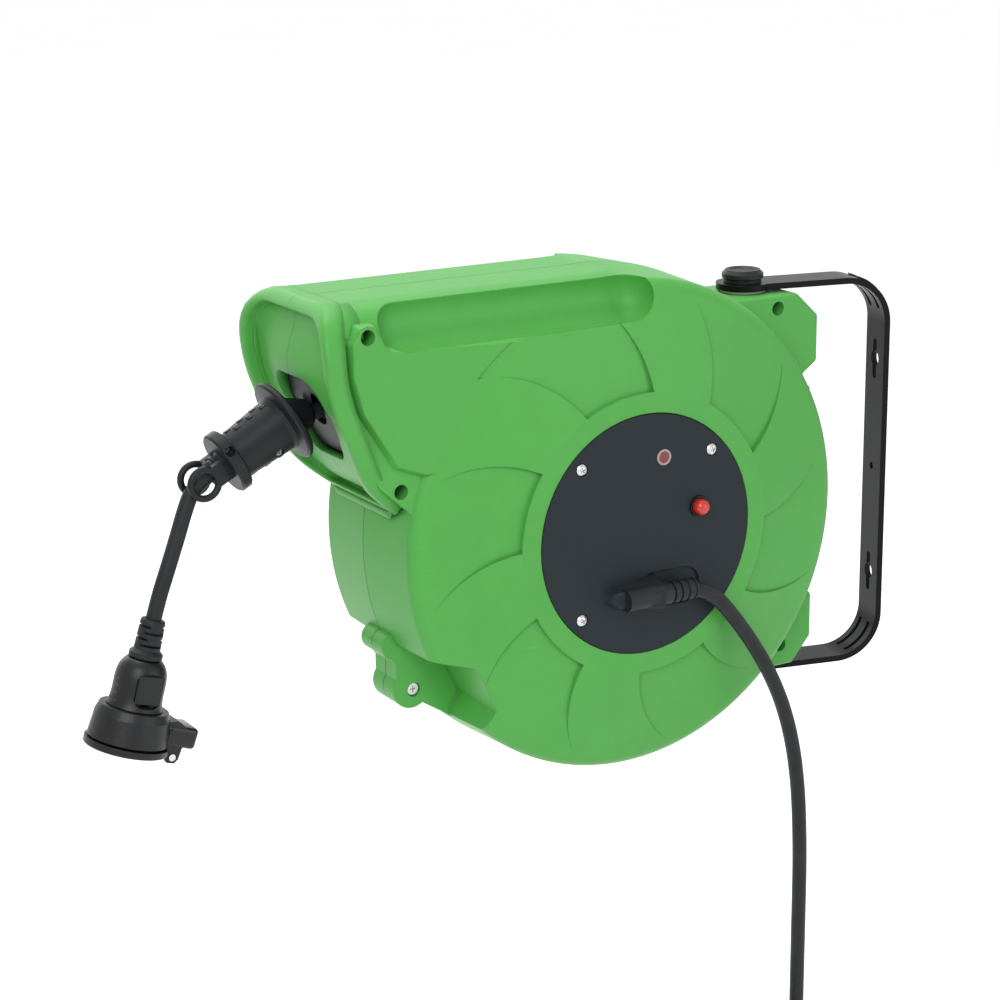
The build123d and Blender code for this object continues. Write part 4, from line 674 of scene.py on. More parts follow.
@dataclass(frozen=True)
class BareMetal(Finish):
    """Plated or bare metal with fine brushing and dull spots."""

    brush: Point = (900.0, 900.0, 60.0)
    tarnish: Colour = linear(120, 112, 98)
    plain: tuple[tuple[str, float], ...] = (("Metallic", 1.0),)

    def coat(self, desk: Desk) -> Coat:
        """Brushing in the roughness and the relief, tarnish in the hollows of a noise.

        Args:
            desk: the material's desk.

        Returns:
            The metal's coat.
        """
        edges, marks = self.effects(desk, Effect.EDGES, Effect.MARKS)
        where = desk.where()
        stretched = desk.put("ShaderNodeMapping", {"Vector": where, "Scale": self.brush})
        lines = desk.noise(stretched.outputs[0], 1.0, 3.0)
        spots = desk.ramp(desk.noise(where, 240.0, 5.0), 0.5, 0.75)
        colour = desk.mix(desk.times(spots, self.drift), self.colour, self.tarnish)
        colour = desk.mix(desk.times(edges["Edge"], self.edge_share), colour, self.shade(1.25))
        brushed = desk.ramp(lines, 0.3, 0.7, self.roughness - 0.06, self.roughness + 0.08)
        rough = desk.math("ADD", brushed, desk.times(marks["Smudge"], 0.15), clamp=True)
        return Coat(colour, rough, desk.relief(lines, self.grain_depth_mm, edges["Normal"]))


@dataclass(frozen=True)
class CordSheath(Finish):
    """Rubber sheath of a mains cord: matte, slightly dusty, with the faint waves of its cores."""

    wave_mm: float = 0.25

    def coat(self, desk: Desk) -> Coat:
        """Talc haze, scuffs and a soft uneven surface.

        Args:
            desk: the material's desk.

        Returns:
            The sheath's coat.
        """
        drift, marks, dust, grain = self.effects(desk, Effect.DRIFT, Effect.MARKS, Effect.DUST,
                                                 Effect.GRAIN)
        waves = desk.noise(desk.where(), 95.0, 2.0)
        colour = desk.mix(drift[0], self.shade(0.85), self.shade(1.3))
        colour = desk.mix(desk.times(marks["Smudge"], 0.35), colour, self.shade(2.0))
        colour = desk.mix(dust[0], colour, self.dust_colour)
        rough = desk.ramp(waves, 0.3, 0.7, self.roughness - 0.06, self.roughness + 0.08)
        soft = desk.relief(waves, self.wave_mm)
        return Coat(colour, rough, desk.relief(grain[0], self.grain_depth_mm, soft))


@dataclass(frozen=True)
class LampGlass(Finish):
    """Tinted translucent plastic of the indicator."""

    plain: tuple[tuple[str, float], ...] = (("Transmission Weight", 0.45), ("IOR", 1.49))

    def coat(self, desk: Desk) -> Coat:
        """Uneven tint and a fine grain.

        Args:
            desk: the material's desk.

        Returns:
            The glass's coat.
        """
        edges, grain, drift = self.effects(desk, Effect.EDGES, Effect.GRAIN, Effect.DRIFT)
        rough = desk.ramp(grain[0], 0.2, 0.8, self.roughness - 0.05, self.roughness + 0.1)
        return Coat(desk.mix(drift[0], self.shade(0.8), self.shade(1.15)), rough,
                    desk.relief(grain[0], self.grain_depth_mm, edges["Normal"]))


class Paint:
    """All finishes of the reel, each built once and kept under its slot in the record."""

    GREEN = HousingPlastic("green_moulding", linear(84, 172, 76), 0.43, 0.5, 0.012, edge_mm=1.1,
                           edge_share=0.25, drift=0.45, marks=0.35, dust=0.02, specular=0.3)
    BLACK = MouldedPlastic("black_moulding", linear(27, 29, 32), 0.42, 0.55, 0.03, edge_mm=0.5,
                           edge_share=0.3, drift=0.5, marks=0.4, dust=0.02, specular=0.22)
    COVER = MouldedPlastic("cover_moulding", linear(36, 43, 48), 0.5, 0.4, 0.015, edge_mm=0.6,
                           edge_share=0.3, drift=0.4, marks=0.4, dust=0.01, specular=0.16)
    SOCKET = MouldedPlastic("socket_moulding", linear(22, 23, 25), 0.36, 0.9, 0.09, edge_mm=0.6,
                            edge_share=0.35, drift=0.5, marks=0.4, dust=0.01, specular=0.3)
    DRUM = MouldedPlastic("drum_moulding", linear(24, 25, 26), 0.6, 0.8, 0.02, edge_mm=0.5,
                          edge_share=0.2, drift=0.5, marks=0.3, dust=0.0, specular=0.1)
    NYLON = MouldedPlastic("natural_nylon", linear(214, 208, 190), 0.45, 0.5, 0.01, edge_mm=0.4,
                           edge_share=0.2, drift=0.6, marks=0.8, dust=0.05)
    RED = MouldedPlastic("button_red", linear(214, 52, 36), 0.28, 1.0, 0.006, edge_mm=0.5,
                         edge_share=0.25, drift=0.4, marks=0.4, dust=0.02, specular=0.6)
    GRAPHITE = MouldedPlastic("pressed_graphite", linear(58, 58, 60), 0.35, 0.35, 0.02,
                              edge_mm=0.2, edge_share=0.5, drift=0.8, marks=0.9, dust=0.0)
    STEEL = PowderCoat("bracket_coat", linear(14, 15, 18), 0.3, 1.6, 0.01, edge_mm=0.5,
                       edge_share=0.1, drift=0.3, marks=0.3, dust=0.0, specular=0.1)
    ZINC = BareMetal("zinc_plate", linear(196, 197, 196), 0.28, grain_depth_mm=0.004,
                     edge_mm=0.2, edge_share=0.5, drift=0.35, marks=0.6)
    BRASS = BareMetal("brass", linear(206, 170, 96), 0.26, grain_depth_mm=0.004, edge_mm=0.3,
                      edge_share=0.4, drift=0.3, marks=0.5, tarnish=linear(126, 92, 48))
    SPRING = BareMetal("blued_spring", linear(92, 98, 110), 0.34, grain_depth_mm=0.003,
                       edge_mm=0.1, edge_share=0.5, drift=0.4, marks=0.5,
                       tarnish=linear(70, 60, 58))
    CORD = CordSheath("cord_rubber", linear(30, 32, 35), 0.5, 0.45, 0.03, drift=0.5, marks=0.5,
                      dust=0.01, specular=0.25)
    DULL_ZINC = BareMetal("dull_zinc", linear(128, 128, 130), 0.42, grain_depth_mm=0.004,
                          edge_mm=0.2, edge_share=0.3, drift=0.6, marks=0.8)
    GLOSS = MouldedPlastic("gloss_black", linear(16, 17, 19), 0.14, 1.4, 0.004, edge_mm=0.5,
                           edge_share=0.2, drift=0.3, marks=0.5, dust=0.0, specular=0.35)
    LENS_RIM = LampGlass("lens_rim", linear(236, 214, 210), 0.2, 1.2, 0.01, edge_mm=0.2,
                         drift=0.4)
    LENS = LampGlass("lamp_lens", linear(176, 66, 62), 0.16, 1.2, 0.02, edge_mm=0.4, drift=0.6)

    SLOTS: dict[str, Finish] = {
        "green_plastic": GREEN, "black_plastic": BLACK, "cover_plastic": COVER,
        "bracket_steel": STEEL, "zinc_steel": ZINC, "red_button": RED, "lamp_lens": LENS,
        "cord_rubber": CORD, "brass": BRASS, "nylon": NYLON, "graphite": GRAPHITE,
        "drum_plastic": DRUM, "spring_steel": SPRING,
    }
    OWN: dict[str, Finish] = {
        "socket_body": SOCKET, "socket_ring": SOCKET, "socket_lid": SOCKET,
        "socket_insert": SOCKET, "plug_body": SOCKET, "stopper_screws": DULL_ZINC,
    }

    def __init__(self) -> None:
        """Starts with no material built."""
        self.built: dict[str, bpy.types.Material] = {}

    def material(self, finish: Finish) -> bpy.types.Material:
        """The material of a finish.

        Args:
            finish: which one.

        Returns:
            The material, built on first use.
        """
        if finish.name not in self.built:
            self.built[finish.name] = finish.build()
        return self.built[finish.name]

    def dress_nodes(self) -> None:
        """Gives every CAD node the finish of its slot in the record, or its own."""
        slots = {part["node"]: part["material_slot"] for part in frame["record"]["subparts"]}
        for name, node in frame["nodes"].items():
            finish = self.OWN.get(name, self.SLOTS[slots[name]])
            if not node.material_slots:
                node.data.materials.append(None)
            for slot in node.material_slots:
                slot.link = "OBJECT"
                slot.material = self.material(finish)
            LOG.info("node %s wears %s", name, finish.name)


PAINT = Paint()


# ---------------------------------------------------------------------------- modelling


@dataclass
class Mounted:
    """What a modelled piece becomes: its name, body, finish, slot and the nodes it replaces."""

    name: str
    body: str
    finish: Finish = Paint.CORD
    slot: str = "cord_rubber"
    carrier: Carrier = Carrier.REEL
    stands_for: tuple[str, ...] = ()

    def settle(self, piece: bpy.types.Object) -> bpy.types.Object:
        """Paints a piece and puts it on its body.

        Args:
            piece: the object, in its final shape.

        Returns:
            The same object.
        """
        piece.data.materials.append(PAINT.material(self.finish))
        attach(piece, self.body)
        if self.stands_for:
            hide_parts(*self.stands_for)
        LOG.info("piece %s on %s", self.name, self.body)
        return piece


@dataclass
class Cord(Mounted):
    """A round cord along its route, one smooth spline."""

    route: Sequence[Point] = ()
    diameter_mm: float = 9.0

    def build(self) -> bpy.types.Object:
        """Makes the curve.

        Returns:
            The cord's object, riding on its body.
        """
        curve = bpy.data.curves.new(self.name, "CURVE")
        curve.dimensions = "3D"
        curve.bevel_depth = self.diameter_mm * MM / 2
        curve.bevel_resolution = 7
        curve.resolution_u = 10
        curve.use_fill_caps = True
        spline = curve.splines.new("NURBS")
        spline.points.add(len(self.route) - 1)
        place = FRAMES.matrix(self.carrier)
        for point, spot in zip(spline.points, self.route):
            point.co = (*(place @ Vector(spot)), 1.0)
        spline.order_u = 3
        spline.use_endpoint_u = True
        return self.settle(link(self.name, curve))

    def exit(self) -> list[float]:
        """Where it leaves the object, in the row frame."""
        return list(FRAMES.matrix(self.carrier) @ Vector(self.route[0]))


def as_data(shape: Mesh, name: str) -> bpy.types.Mesh:
    """Keeps a shape as mesh data.

    Args:
        shape: the shape, which is freed.
        name: name of the data.

    Returns:
        The mesh data.
    """
    mesh = bpy.data.meshes.new(name)
    shape.to_mesh(mesh)
    shape.free()
    return mesh


@dataclass
class Piece(Mounted):
    """A modelled mesh with its wall and its creases."""

    wall_mm: float = 0.0
    crease_deg: float = 32.0
    flat_facing: Point = (0.0, 0.0, 0.0)    # faces that look this way are shaded flat

    def make(self, shape: Mesh) -> None:
        """Places a shape in the row frame and makes its object.

        Args:
            shape: the shape, in millimetres of its carrier's frame.
        """
        bmesh.ops.remove_doubles(shape, verts=shape.verts, dist=MERGE_MM)
        bmesh.ops.recalc_face_normals(shape, faces=shape.faces)
        place = FRAMES.matrix(self.carrier)
        shape.transform(place)
        mesh = as_data(shape, self.name)
        mesh.set_sharp_from_angle(angle=radians(self.crease_deg))
        flat = (place.to_3x3() @ Vector(self.flat_facing)).normalized()
        for face in mesh.polygons:
            face.use_smooth = face.normal.dot(flat) < FLAT_COSINE
        piece = link(self.name, mesh)
        if self.wall_mm:
            wall = piece.modifiers.new("wall", "SOLIDIFY")
            wall.thickness, wall.offset = self.wall_mm * MM, -1.0
        self.settle(piece)


def lathe(profile: Sequence[Flat], centre: Point, axis: Point) -> Mesh:
    """Turns a profile once round an axis.

    Args:
        profile: radius and height of each point.
        centre: a point on the axis, where the height is 0.
        axis: direction of the height.

    Returns:
        The turned shape.
    """
    shape = bmesh.new()
    up = Vector(axis).normalized()
    out = up.orthogonal().normalized()
    row = [shape.verts.new(Vector(centre) + out * radius + up * height)
           for radius, height in profile]
    edges = [shape.edges.new(pair) for pair in zip(row, row[1:])]
    bmesh.ops.spin(shape, geom=row + edges, cent=centre, axis=up, angle=2 * pi,
                   steps=LATHE_STEPS, use_merge=True, use_duplicate=False)
    bmesh.ops.remove_doubles(shape, verts=shape.verts, dist=MERGE_MM / 2)
    return shape


def block(size: Point, centre: Point, edge: float, turn: Matrix = Matrix.Identity(4)) -> Mesh:
    """A block with rounded edges.

    Args:
        size: its three sides.
        centre: its middle.
        edge: radius of its edges.
        turn: how it is turned about its middle.

    Returns:
        The block's shape.
    """
    shape = bmesh.new()
    bmesh.ops.create_cube(shape, size=1.0)
    bmesh.ops.scale(shape, verts=shape.verts, vec=size)
    bmesh.ops.bevel(shape, geom=shape.edges[:], offset=edge, offset_type="OFFSET",
                    affect="EDGES", segments=4, profile=0.5, material=-1, clamp_overlap=True)
    bmesh.ops.transform(shape, matrix=turn, verts=shape.verts)
    bmesh.ops.translate(shape, verts=shape.verts, vec=centre)
    return shape


def join(shapes: Iterable[Mesh]) -> Mesh:
    """Puts several shapes into one.

    Args:
        shapes: the shapes, which are freed.

    Returns:
        One shape with all of them.
    """
    whole = bmesh.new()
    for shape in shapes:
        part = as_data(shape, "part")
        whole.from_mesh(part)
        bpy.data.meshes.remove(part)
    return whole


def skin(loops: Sequence[Sequence[Point]]) -> Mesh:
    """Lays a skin over closed loops, extruded from each to the next.

    Args:
        loops: the loops, all of the same number of points.

    Returns:
        The skin's shape.
    """
    shape = bmesh.new()
    ring = bmesh.ops.create_circle(shape, segments=len(loops[0]), radius=1.0,
                                   cap_ends=False)["verts"]
    for k, loop in enumerate(loops):
        if k:
            edges = [shape.edges.get((ring[i - 1], ring[i])) for i in range(len(ring))]
            made = bmesh.ops.extrude_edge_only(shape, edges=edges)["geom"]
            fresh = {part for part in made if isinstance(part, bmesh.types.BMVert)}
            ring = [next(edge.other_vert(vert) for edge in vert.link_edges
                         if edge.other_vert(vert) in fresh) for vert in ring]
        for vert, spot in zip(ring, loop):
            vert.co = spot
    return shape


def rounded_loop(corners: Sequence[Flat], radii: Sequence[float],
                 inset: float = 0.0) -> list[Flat]:
    """A closed outline with rounded corners.

    Args:
        corners: its corners, anticlockwise.
        radii: radius of each.
        inset: how far the outline is moved inwards.

    Returns:
        Points round the outline, the same number for every inset.
    """
    arcs: list[list[Vector]] = []
    for k, corner in enumerate(corners):
        here = Vector(corner)
        into = (here - Vector(corners[k - 1])).normalized()
        away = (Vector(corners[(k + 1) % len(corners)]) - here).normalized()
        left_in, left_out = Vector((-into.y, into.x)), Vector((-away.y, away.x))
        here = here + (left_in + left_out) * inset / (1 + left_in.dot(left_out))
        radius = max(1.0, radii[k] - inset)
        bend = -into.angle_signed(away)
        middle = here - into * radius * abs(sin(bend / 2) / cos(bend / 2)) + left_in * radius
        spoke = -left_in * radius
        arcs.append([])
        for step in range(ARC_POINTS):
            c, s = cos(bend * step / (ARC_POINTS - 1)), sin(bend * step / (ARC_POINTS - 1))
            turned = Vector((spoke.x * c - spoke.y * s, spoke.x * s + spoke.y * c))
            arcs[-1].append(middle + turned)
    outline: list[Vector] = []
    for arc, following in zip(arcs, arcs[1:] + arcs[:1]):
        run = [arc[-1].lerp(following[0], (step + 1) / (RUN_POINTS + 1))
               for step in range(RUN_POINTS)]
        outline += arc + run
    return [(spot.x, spot.y) for spot in outline]


# ---------------------------------------------------------------------------- cords


@dataclass
class SupplyLead:
    """The mains lead: out of its hood, down, and put away in a tied coil of two turns."""

    gland: tuple[Point, ...] = (
        (-19, -79, -34.5), (3, -79, -34.5), (36, -79.1, -34.9), (58, -79.9, -59.5),
        (80, -80.9, -92), (95, -81.9, -126), (103.5, -82.9, -166), (106.2, -83.7, -215),
        (106, -84, -262), (106, -84, -310))
    turns: int = 2
    steps: int = 16
    coil_x: float = 61.1
    coil_z: float = -368.5
    coil_y: float = -84.0
    coil_r: float = 49.5
    shift: float = 4.6            # the first turn lies this far inside, the last outside
    crossing: float = 0.16        # share of a turn in which they cross in front of the tie
    crossing_lift: float = 9.2
    boot_top: float = -404.0
    length_m: float = 1.07

    def coil_points(self) -> list[Point]:
        """The turns, clockwise from the tie.

        Returns:
            Control points in the reel's frame.
        """
        points = []
        reach = 1 / cos(pi / self.steps)
        for k in range(2, self.turns * self.steps - 1):
            turn = k / self.steps
            past = (turn - 1) / self.crossing
            radius = (self.coil_r + self.shift * max(-1.0, min(1.0, past))) * reach
            lift = self.crossing_lift * max(0.0, 1 - abs(past))
            points.append((self.coil_x + radius * cos(turn * 2 * pi), self.coil_y - lift,
                           self.coil_z - radius * sin(turn * 2 * pi)))
        return points

    def route(self) -> list[Point]:
        """The whole lead, from inside the gland to inside the plug's boot.

        Returns:
            Control points in the reel's frame.
        """
        x_in = self.coil_x + self.coil_r - self.shift
        x_out = self.coil_x + self.coil_r + self.shift
        y, z = self.coil_y, self.coil_z
        return [*self.gland, (x_in, y, z + 26), (x_in, y, z + 6), *self.coil_points(),
                (x_out, y, z + 8), (x_out, y, z - 12), (x_out, y, self.boot_top - 10)]

    def build(self) -> None:
        cord = Cord("supply_lead", "housing", route=self.route(),
                    stands_for=("supply_cord", "supply_coil", "plug_tail"))
        cord.build()
        cord.exit()


@dataclass
class SocketLead:
    """The short end of the wound cord, from the stopper down to the socket."""

    points: tuple[Point, ...] = (
        (-238.06, 0, 58.67), (-248.4, 0, 53.2), (-255.4, 0, 46.6), (-259.6, 0, 37),
        (-264.0, 0, 24.5), (-271.2, 0, 5.5), (-278.3, 0, -12.6), (-283.343, 0, -30.171))
    length_m: float = 0.1026

    def build(self) -> None:
        cord = Cord("socket_lead", "feed", route=self.points, stands_for=("lead_cord",))
        cord.build()
        cord.exit()


@dataclass
class FeedCord:
    """The stretch of the wound cord from the drum through the guide to the stopper."""

    points: tuple[Point, ...] = (
        (-190.5, 0, 81.3), (-130.0, 0, 88.67), (-70.0, 0, 95.98), (-12.55, 0, 102.98))
    length_m: float = 0.1793

    def build(self) -> None:
        """Makes the taut cord."""
        cord = Cord("feed_line", "feed", route=self.points, stands_for=("feed_cord",))
        cord.build()
        cord.exit()


# ---------------------------------------------------------------------------- housing


@dataclass
class SnoutMouth:
    """The snout's mouth: a rounded rim, a groove in it, and a plate with the stopper's opening.

    Depths are behind the front; the rim and the lip go inwards by inset and depth.
    """

    front_line: tuple[Flat, ...] = (
        (5, -124), (22, -143), (47, -171), (90, -191.5), (115, -197.5), (138, -196.5),
        (149.5, -189), (160, -176))
    corners: tuple[Flat, ...] = (
        (-40, 24), (40, 24), (57, 68), (57, 150.3), (-57, 150.3), (-57, 68))
    radii: tuple[float, ...] = (15, 15, 60, 30, 30, 60)
    opening: tuple[Flat, ...] = (
        (-19, 56), (19, 56), (26.5, 74), (26.5, 106), (-26.5, 106), (-26.5, 74))
    opening_radii: tuple[float, ...] = (12, 12, 16, 14, 14, 16)
    rim: tuple[Flat, ...] = (
        (0.6, 12.0), (0.2, 7.5), (0.0, 3.0), (0.35, 1.3), (1.3, 0.35), (2.8, 0.0), (5.6, 0.0),
        (6.8, 0.5), (7.5, 1.6), (7.8, 3.2), (8.0, 6.6), (8.6, 7.7), (10.0, 8.0))
    lip: tuple[Flat, ...] = ((0.5, 0.9), (0.7, 2.5), (0.7, 9.0))
    plate_shares: tuple[float, ...] = (0.2, 0.4, 0.6, 0.8, 0.93, 1.0)
    plate_depth: float = 8.0
    visor: float = 5.5
    visor_half: Flat = (40.0, 26.0)
    visor_start: float = 20.0
    drum_case_r: float = 150.6
    shoulder_at: Flat = (28.0, 127.5)
    shoulder_r: float = 22.12
    shoulder_x: Flat = (-188.0, -172.0)
    shoulder_from: float = 12.0
    shoulder_sweep: float = 66.0

    def front(self, height: float) -> float:
        """X of the mouth's front, on a smooth line.

        Args:
            height: Z at which it is read.

        Returns:
            X there.
        """
        line = self.front_line
        k = next((i for i in range(1, len(line) - 2) if height <= line[i + 1][0]), len(line) - 3)
        (z0, x0), (z1, x1) = line[k], line[k + 1]
        slope0 = (x1 - line[k - 1][1]) / (z1 - line[k - 1][0]) * (z1 - z0)
        slope1 = (line[k + 2][1] - x0) / (line[k + 2][0] - z0) * (z1 - z0)
        t = (height - z0) / (z1 - z0)
        return ((2 * t ** 3 - 3 * t ** 2 + 1) * x0 + (t ** 3 - 2 * t ** 2 + t) * slope0
                + (3 * t ** 2 - 2 * t ** 3) * x1 + (t ** 3 - t ** 2) * slope1)

    def stand(self, loop: Iterable[Flat], depth: Callable[[float, float], float]) -> list[Point]:
        """Lays a flat outline on the mouth's front, outside the drum case.

        Args:
            loop: width and height of each point.
            depth: how far behind the front a point lies.

        Returns:
            The points in the reel's frame.
        """
        spots = []
        for y, z in loop:
            x = self.front(z) + depth(y, z)
            reach = (x * x + z * z) ** 0.5
            if reach < self.drum_case_r:
                x, z = x * self.drum_case_r / reach, z * self.drum_case_r / reach
            spots.append((x, y, z))
        return spots

    def plate(self, y: float, z: float) -> float:
        """Depth of the plate, which swells forward over the opening like a visor.

        Args:
            y: width of the point.
            z: its height.

        Returns:
            Its depth.
        """
        over = z - self.opening[3][1]
        half_y, half_z = self.visor_half
        if over <= -self.visor_start:
            return self.plate_depth
        swell = max(0.0, 1 - (over / half_z) ** 2) * max(0.0, 1 - (y / half_y) ** 2)
        return self.plate_depth - self.visor * swell

    def bezel(self) -> Mesh:
        """Rim, groove, plate and the opening's inturned lip.

        Returns:
            Their skin.
        """
        loops = [self.stand(rounded_loop(self.corners, self.radii, inset), lambda y, z, d=depth: d)
                 for inset, depth in self.rim]
        outer = rounded_loop(self.corners, self.radii, self.rim[-1][0])
        inner = rounded_loop(self.opening, self.opening_radii)
        for share in self.plate_shares:
            flat = [(a[0] + (b[0] - a[0]) * share, a[1] + (b[1] - a[1]) * share)
                    for a, b in zip(outer, inner)]
            loops.append(self.stand(flat, self.plate))
        for inset, deeper in self.lip:
            lip = rounded_loop(self.opening, self.opening_radii, inset)
            loops.append(self.stand(lip, lambda y, z, d=deeper: self.plate(y, z) + d))
        return skin(loops)

    def shoulders(self) -> Mesh:
        """Closes the rounded shoulders of both shells behind the rim.

        Returns:
            A bent sheet for each side.
        """
        sheets = []
        start = radians(self.shoulder_from)
        for side in (-1, 1):
            shape = bmesh.new()
            middle = Vector((0, side * self.shoulder_at[0], self.shoulder_at[1]))
            spoke = Vector((0, side * cos(start), sin(start))) * self.shoulder_r
            row = [shape.verts.new(middle + spoke + Vector((x, 0, 0))) for x in self.shoulder_x]
            bmesh.ops.spin(shape, geom=[*row, shape.edges.new(row)], cent=middle,
                           axis=(side, 0, 0), angle=radians(self.shoulder_sweep), steps=16,
                           use_merge=False, use_duplicate=False)
            sheets.append(shape)
        return join(sheets)

    def build(self) -> None:
        """Makes the mouth's pieces."""
        Piece("snout_mouth", "housing", Paint.GREEN, "green_plastic", wall_mm=2.4,
              stands_for=("mouth_bezel",), crease_deg=50).make(self.bezel())
        Piece("snout_shoulders", "housing", Paint.GREEN, "green_plastic",
              wall_mm=2.0).make(self.shoulders())


@dataclass
class CoverPlate:
    """The dark cover with its tapered cord hood, the domed reset button and the lamp's rim."""

    outwards: Point = (0.0, -1.0, 0.0)
    face_y: float = -70.0
    hood_x: Flat = (-31.0, 5.0)      # from its nose to its open end
    hood_z: float = -34.5
    hood_half: float = 10.6
    nose_height: float = 0.1         # shares of the full hood
    nose_width: float = 0.45
    nose_bow: float = 0.62
    button_at: Point = (36.0, 0.0, 12.0)
    button: tuple[Flat, ...] = (
        (0.0, 66.0), (3.0, 66.0), (4.5, 66.4), (4.75, 67.5), (4.75, 73.2), (4.6, 74.3),
        (4.1, 75.4), (3.2, 76.3), (2.0, 76.9), (0.8, 77.2), (0.0, 77.25))
    lens_at: Point = (11.0, -70.2, 45.0)
    lens_r: float = 4.15
    lens_wire_r: float = 0.75

    def cover(self) -> Mesh:
        """The cover, its hood drawn down to a nose.

        Returns:
            The cover's shape.
        """
        shape = bmesh.new()
        shape.from_mesh(frame["nodes"]["side_cover"].data)
        shape.transform(FRAMES.matrix(Carrier.REEL).inverted())
        bmesh.ops.remove_doubles(shape, verts=shape.verts, dist=2 * MERGE_MM)
        nose, mouth = self.hood_x
        for vert in shape.verts:
            x, y, z = vert.co
            if y < self.face_y + 0.05 and nose - 1 < x < mouth + 0.6 and \
                    abs(z - self.hood_z) < self.hood_half:
                along = max(0.0, min(1.0, (x - nose) / (mouth - nose)))
                share = self.nose_height + (1 - self.nose_height) * along ** self.nose_bow
                width = self.nose_width + (1 - self.nose_width) * share
                vert.co.y = self.face_y + (y - self.face_y) * share
                vert.co.z = self.hood_z + (z - self.hood_z) * width
        return shape

    def build(self) -> None:
        """Makes the cover's pieces."""
        Piece("cover_plate", "housing", Paint.COVER, "cover_plastic", crease_deg=26,
              stands_for=("side_cover",), flat_facing=self.outwards).make(self.cover())
        Piece("reset_dome", "reset", Paint.RED, "red_button", stands_for=("reset_button",),
              crease_deg=60).make(lathe(self.button, self.button_at, self.outwards))
        wire = [(self.lens_r + self.lens_wire_r * cos(k * pi / 6),
                 self.lens_wire_r * sin(k * pi / 6)) for k in (*range(12), 0)]
        Piece("lens_rim", "housing", Paint.LENS_RIM, "lamp_lens",
              crease_deg=80).make(lathe(wire, self.lens_at, self.outwards))


@dataclass
class Winding:
    """The cord on the drum: five nested layers of six turns, about 15 m."""

    hub_r: float = 60.1
    half_width: float = 28.0
    cord_r: float = 4.45
    layers: int = 5
    layer_step: float = 7.8
    turns: int = 6
    steps: int = 44
    sides: int = 10
    edge_gap: float = 0.2      # first turn to the flange
    slack: float = 0.06        # left out of each turn's width

    def build(self) -> None:
        """Winds each layer as one helix, to and fro."""
        pitch = 2 * (self.half_width - self.cord_r) / self.turns - self.slack
        shapes = []
        for layer in range(self.layers):
            radius = self.hub_r + self.cord_r + self.layer_step * layer
            way = 1 if layer % 2 == 0 else -1
            shape = bmesh.new()
            ring = bmesh.ops.create_circle(shape, segments=self.sides, radius=self.cord_r,
                                           cap_ends=True)["verts"]
            for axis in "YZX":
                bmesh.ops.rotate(shape, verts=ring, cent=(0, 0, 0),
                                 matrix=Matrix.Rotation(pi / 2, 3, axis))
            start = -way * (self.half_width - self.cord_r - self.edge_gap)
            bmesh.ops.translate(shape, verts=ring, vec=(radius, start, 0))
            bmesh.ops.spin(shape, geom=[*shape.verts, *shape.edges, *shape.faces],
                           cent=(0, 0, 0), axis=(0, 1, 0), dvec=(0, way * pitch / self.steps, 0),
                           angle=2 * pi * self.turns, steps=self.turns * self.steps,
                           use_merge=False, use_duplicate=False)
            shapes.append(shape)
        Piece("cord_winding", "drum", stands_for=("wound_cord",), crease_deg=60).make(join(shapes))


# ---------------------------------------------------------------------------- cord end


@dataclass
class StopperTrim:
    """The interlocking teeth along the stopper's joint."""

    along: tuple[float, ...] = (8.6, 13.2, 17.8, 22.4, 27.0, 31.6)
    barrel_r: Flat = (16.0, 14.0)
    barrel_x: Flat = (6.0, 35.3)
    tooth: Point = (3.9, 3.6, 1.3)
    tooth_edge: float = 0.35
    sink: float = 0.15
    spread_deg: float = 8.5

    def build(self) -> None:
        """Sets the teeth by turns on each side of the joint, above and below."""
        teeth = []
        (x0, x1), (r0, r1) = self.barrel_x, self.barrel_r
        for k, x in enumerate(self.along):
            radius = r0 + (r1 - r0) * (x - x0) / (x1 - x0)
            for base in (0, 180):
                spread = self.spread_deg if k % 2 else -self.spread_deg
                tooth = block(self.tooth, (x, 0, radius - self.sink), self.tooth_edge)
                bmesh.ops.transform(tooth, verts=tooth.verts,
                                    matrix=Matrix.Rotation(radians(base + spread), 4, "X"))
                teeth.append(tooth)
        Piece("stopper_teeth", "feed", Paint.GLOSS, "black_plastic",
              Carrier.STOPPER).make(join(teeth))


@dataclass
class SocketTrim:
    """The thumb rest on the socket's body and the block over its lid hinge."""

    pad: Point = (15.6, 1.5, 16.6)
    pad_at: Point = (1.0, -12.75, -37.8)
    pad_edge: float = 0.7
    hinge: Point = (19.5, 21.2, 12.4)
    hinge_at: Point = (28.0, 0.0, -63.2)
    hinge_edge: float = 2.6
    hinge_tilt: float = 4.0

    def build(self) -> None:
        """Makes the pad and the hinge block."""
        Piece("thumb_rest", "feed", Paint.SOCKET, "black_plastic", Carrier.SOCKET).make(
            block(self.pad, self.pad_at, self.pad_edge))
        tilt = Matrix.Rotation(radians(self.hinge_tilt), 4, "Y")
        Piece("hinge_block", "feed", Paint.GLOSS, "black_plastic", Carrier.SOCKET).make(
            block(self.hinge, self.hinge_at, self.hinge_edge, tilt))


# ---------------------------------------------------------------------------- studio


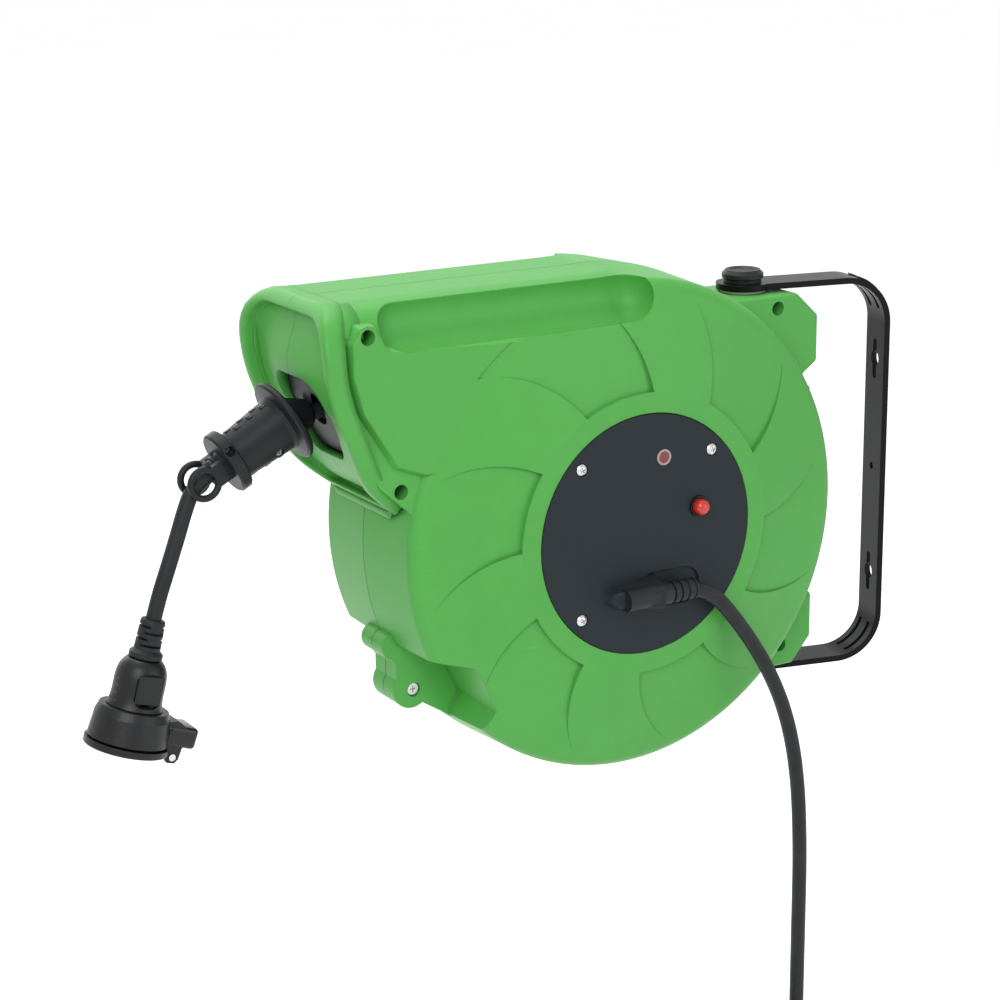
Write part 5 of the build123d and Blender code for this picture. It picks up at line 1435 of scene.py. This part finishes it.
@dataclass
class Studio:
    """Camera, lamps, white surroundings and a pale floor."""

    azimuth: float = -18.13
    elevation: float = 15.45
    roll: float = -0.56
    distance: float = 1.3965
    target: Point = (-0.29099, -0.11427, 0.03414)
    lens: float = 90.0
    lamps: tuple[tuple[str, Point, float, float], ...] = (    # name, place, side and watts
        ("key_lamp", (-1.3, -2.0, 1.3), 1.5, 34.0), ("fill_lamp", (1.5, -1.9, 0.4), 1.8, 13.0),
        ("top_lamp", (-0.35, 0.55, 1.9), 1.4, 26.0), ("rear_lamp", (-0.9, 2.0, 0.9), 1.6, 12.0))
    lamp_aim: Point = (-0.26, -0.05, 0.0)
    sky: Colour = (0.34, 0.34, 0.35)
    floor_size: float = 30.0
    floor_gap: float = 0.002
    floor_glow: float = 0.72

    def camera(self) -> None:
        """Stands the camera and makes it the scene's own."""
        data = bpy.data.cameras.new("camera")
        data.lens, data.sensor_width = self.lens, 36.0
        data.clip_start, data.clip_end = 0.05, 60.0
        piece = link("camera", data)
        a, e = radians(self.azimuth), radians(self.elevation)
        back = Vector((sin(a) * cos(e), -cos(a) * cos(e), sin(e)))
        roll = Matrix.Rotation(radians(self.roll), 3, "Z").to_quaternion()
        piece.rotation_mode = "QUATERNION"
        piece.rotation_quaternion = (-back).to_track_quat("-Z", "Y") @ roll
        piece.location = Vector(self.target) + back * self.distance
        bpy.context.scene.camera = piece

    def light(self) -> None:
        """A large key from the upper left, a fill from the right, and two from above and behind."""
        for name, where, side, power in self.lamps:
            data = bpy.data.lights.new(name, "AREA")
            data.shape, data.size, data.energy = "SQUARE", side, power
            piece = link(name, data)
            piece.location = where
            piece.rotation_mode = "QUATERNION"
            aim = Vector(self.lamp_aim) - Vector(where)
            piece.rotation_quaternion = aim.to_track_quat("-Z", "Y")

    def surroundings(self) -> None:
        """White for the eye, for gloss and for glass, and a soft grey light for the rest."""
        world = bpy.context.scene.world = bpy.data.worlds.new("surroundings")
        desk = emptied(world)
        colour = desk.mix(desk.looked_at(), self.sky, (1.0, 1.0, 1.0))
        shown = desk.put("ShaderNodeBackground", {"Color": colour, "Strength": 1.0})
        desk.put("ShaderNodeOutputWorld", {"Surface": shown.outputs[0]})

    def floor(self) -> None:
        """A pale floor under the lowest piece."""
        sheet = bmesh.new()
        bmesh.ops.create_grid(sheet, x_segments=8, y_segments=8, size=self.floor_size)
        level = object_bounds()[0].z - self.floor_gap
        bmesh.ops.translate(sheet, verts=sheet.verts, vec=(0, 0, level))
        piece = link("studio_floor", as_data(sheet, "studio_floor"))
        made = bpy.data.materials.new("studio_floor")
        desk = emptied(made)
        tone = desk.mix(desk.noise(desk.where(), 3.0, 2.0), (0.78, 0.78, 0.78), (0.82, 0.82, 0.82))
        matte = desk.put("ShaderNodeBsdfDiffuse", {"Color": tone}).outputs[0]
        glow = desk.put("ShaderNodeEmission", {"Color": (1, 1, 1, 1), "Strength": self.floor_glow})
        both = desk.put("ShaderNodeAddShader", {0: matte, 1: glow.outputs[0]}).outputs[0]
        seen = desk.put("ShaderNodeMixShader", {0: desk.looked_at(), 1: matte, 2: both})
        desk.put("ShaderNodeOutputMaterial", {"Surface": seen.outputs[0]})
        piece.data.materials.append(made)
        piece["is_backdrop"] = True

    def build(self) -> None:
        """Sets the whole studio."""
        self.camera()
        self.light()
        self.surroundings()
        self.floor()
        bpy.context.scene.view_settings.view_transform = "Standard"
        LOG.info("studio set")


def main() -> None:
    """Builds the reel's sub-assemblies in order and sets the studio."""
    logging.basicConfig(level=logging.INFO, format="%(name)s: %(message)s")
    PAINT.dress_nodes()
    for part in (SupplyLead(), SocketLead(), FeedCord(), SnoutMouth(), CoverPlate(), Winding(),
                 StopperTrim(), SocketTrim()):
        LOG.info("building %s", type(part).__name__)
        part.build()
    Studio().build()


if __name__ == "__main__":
    main()
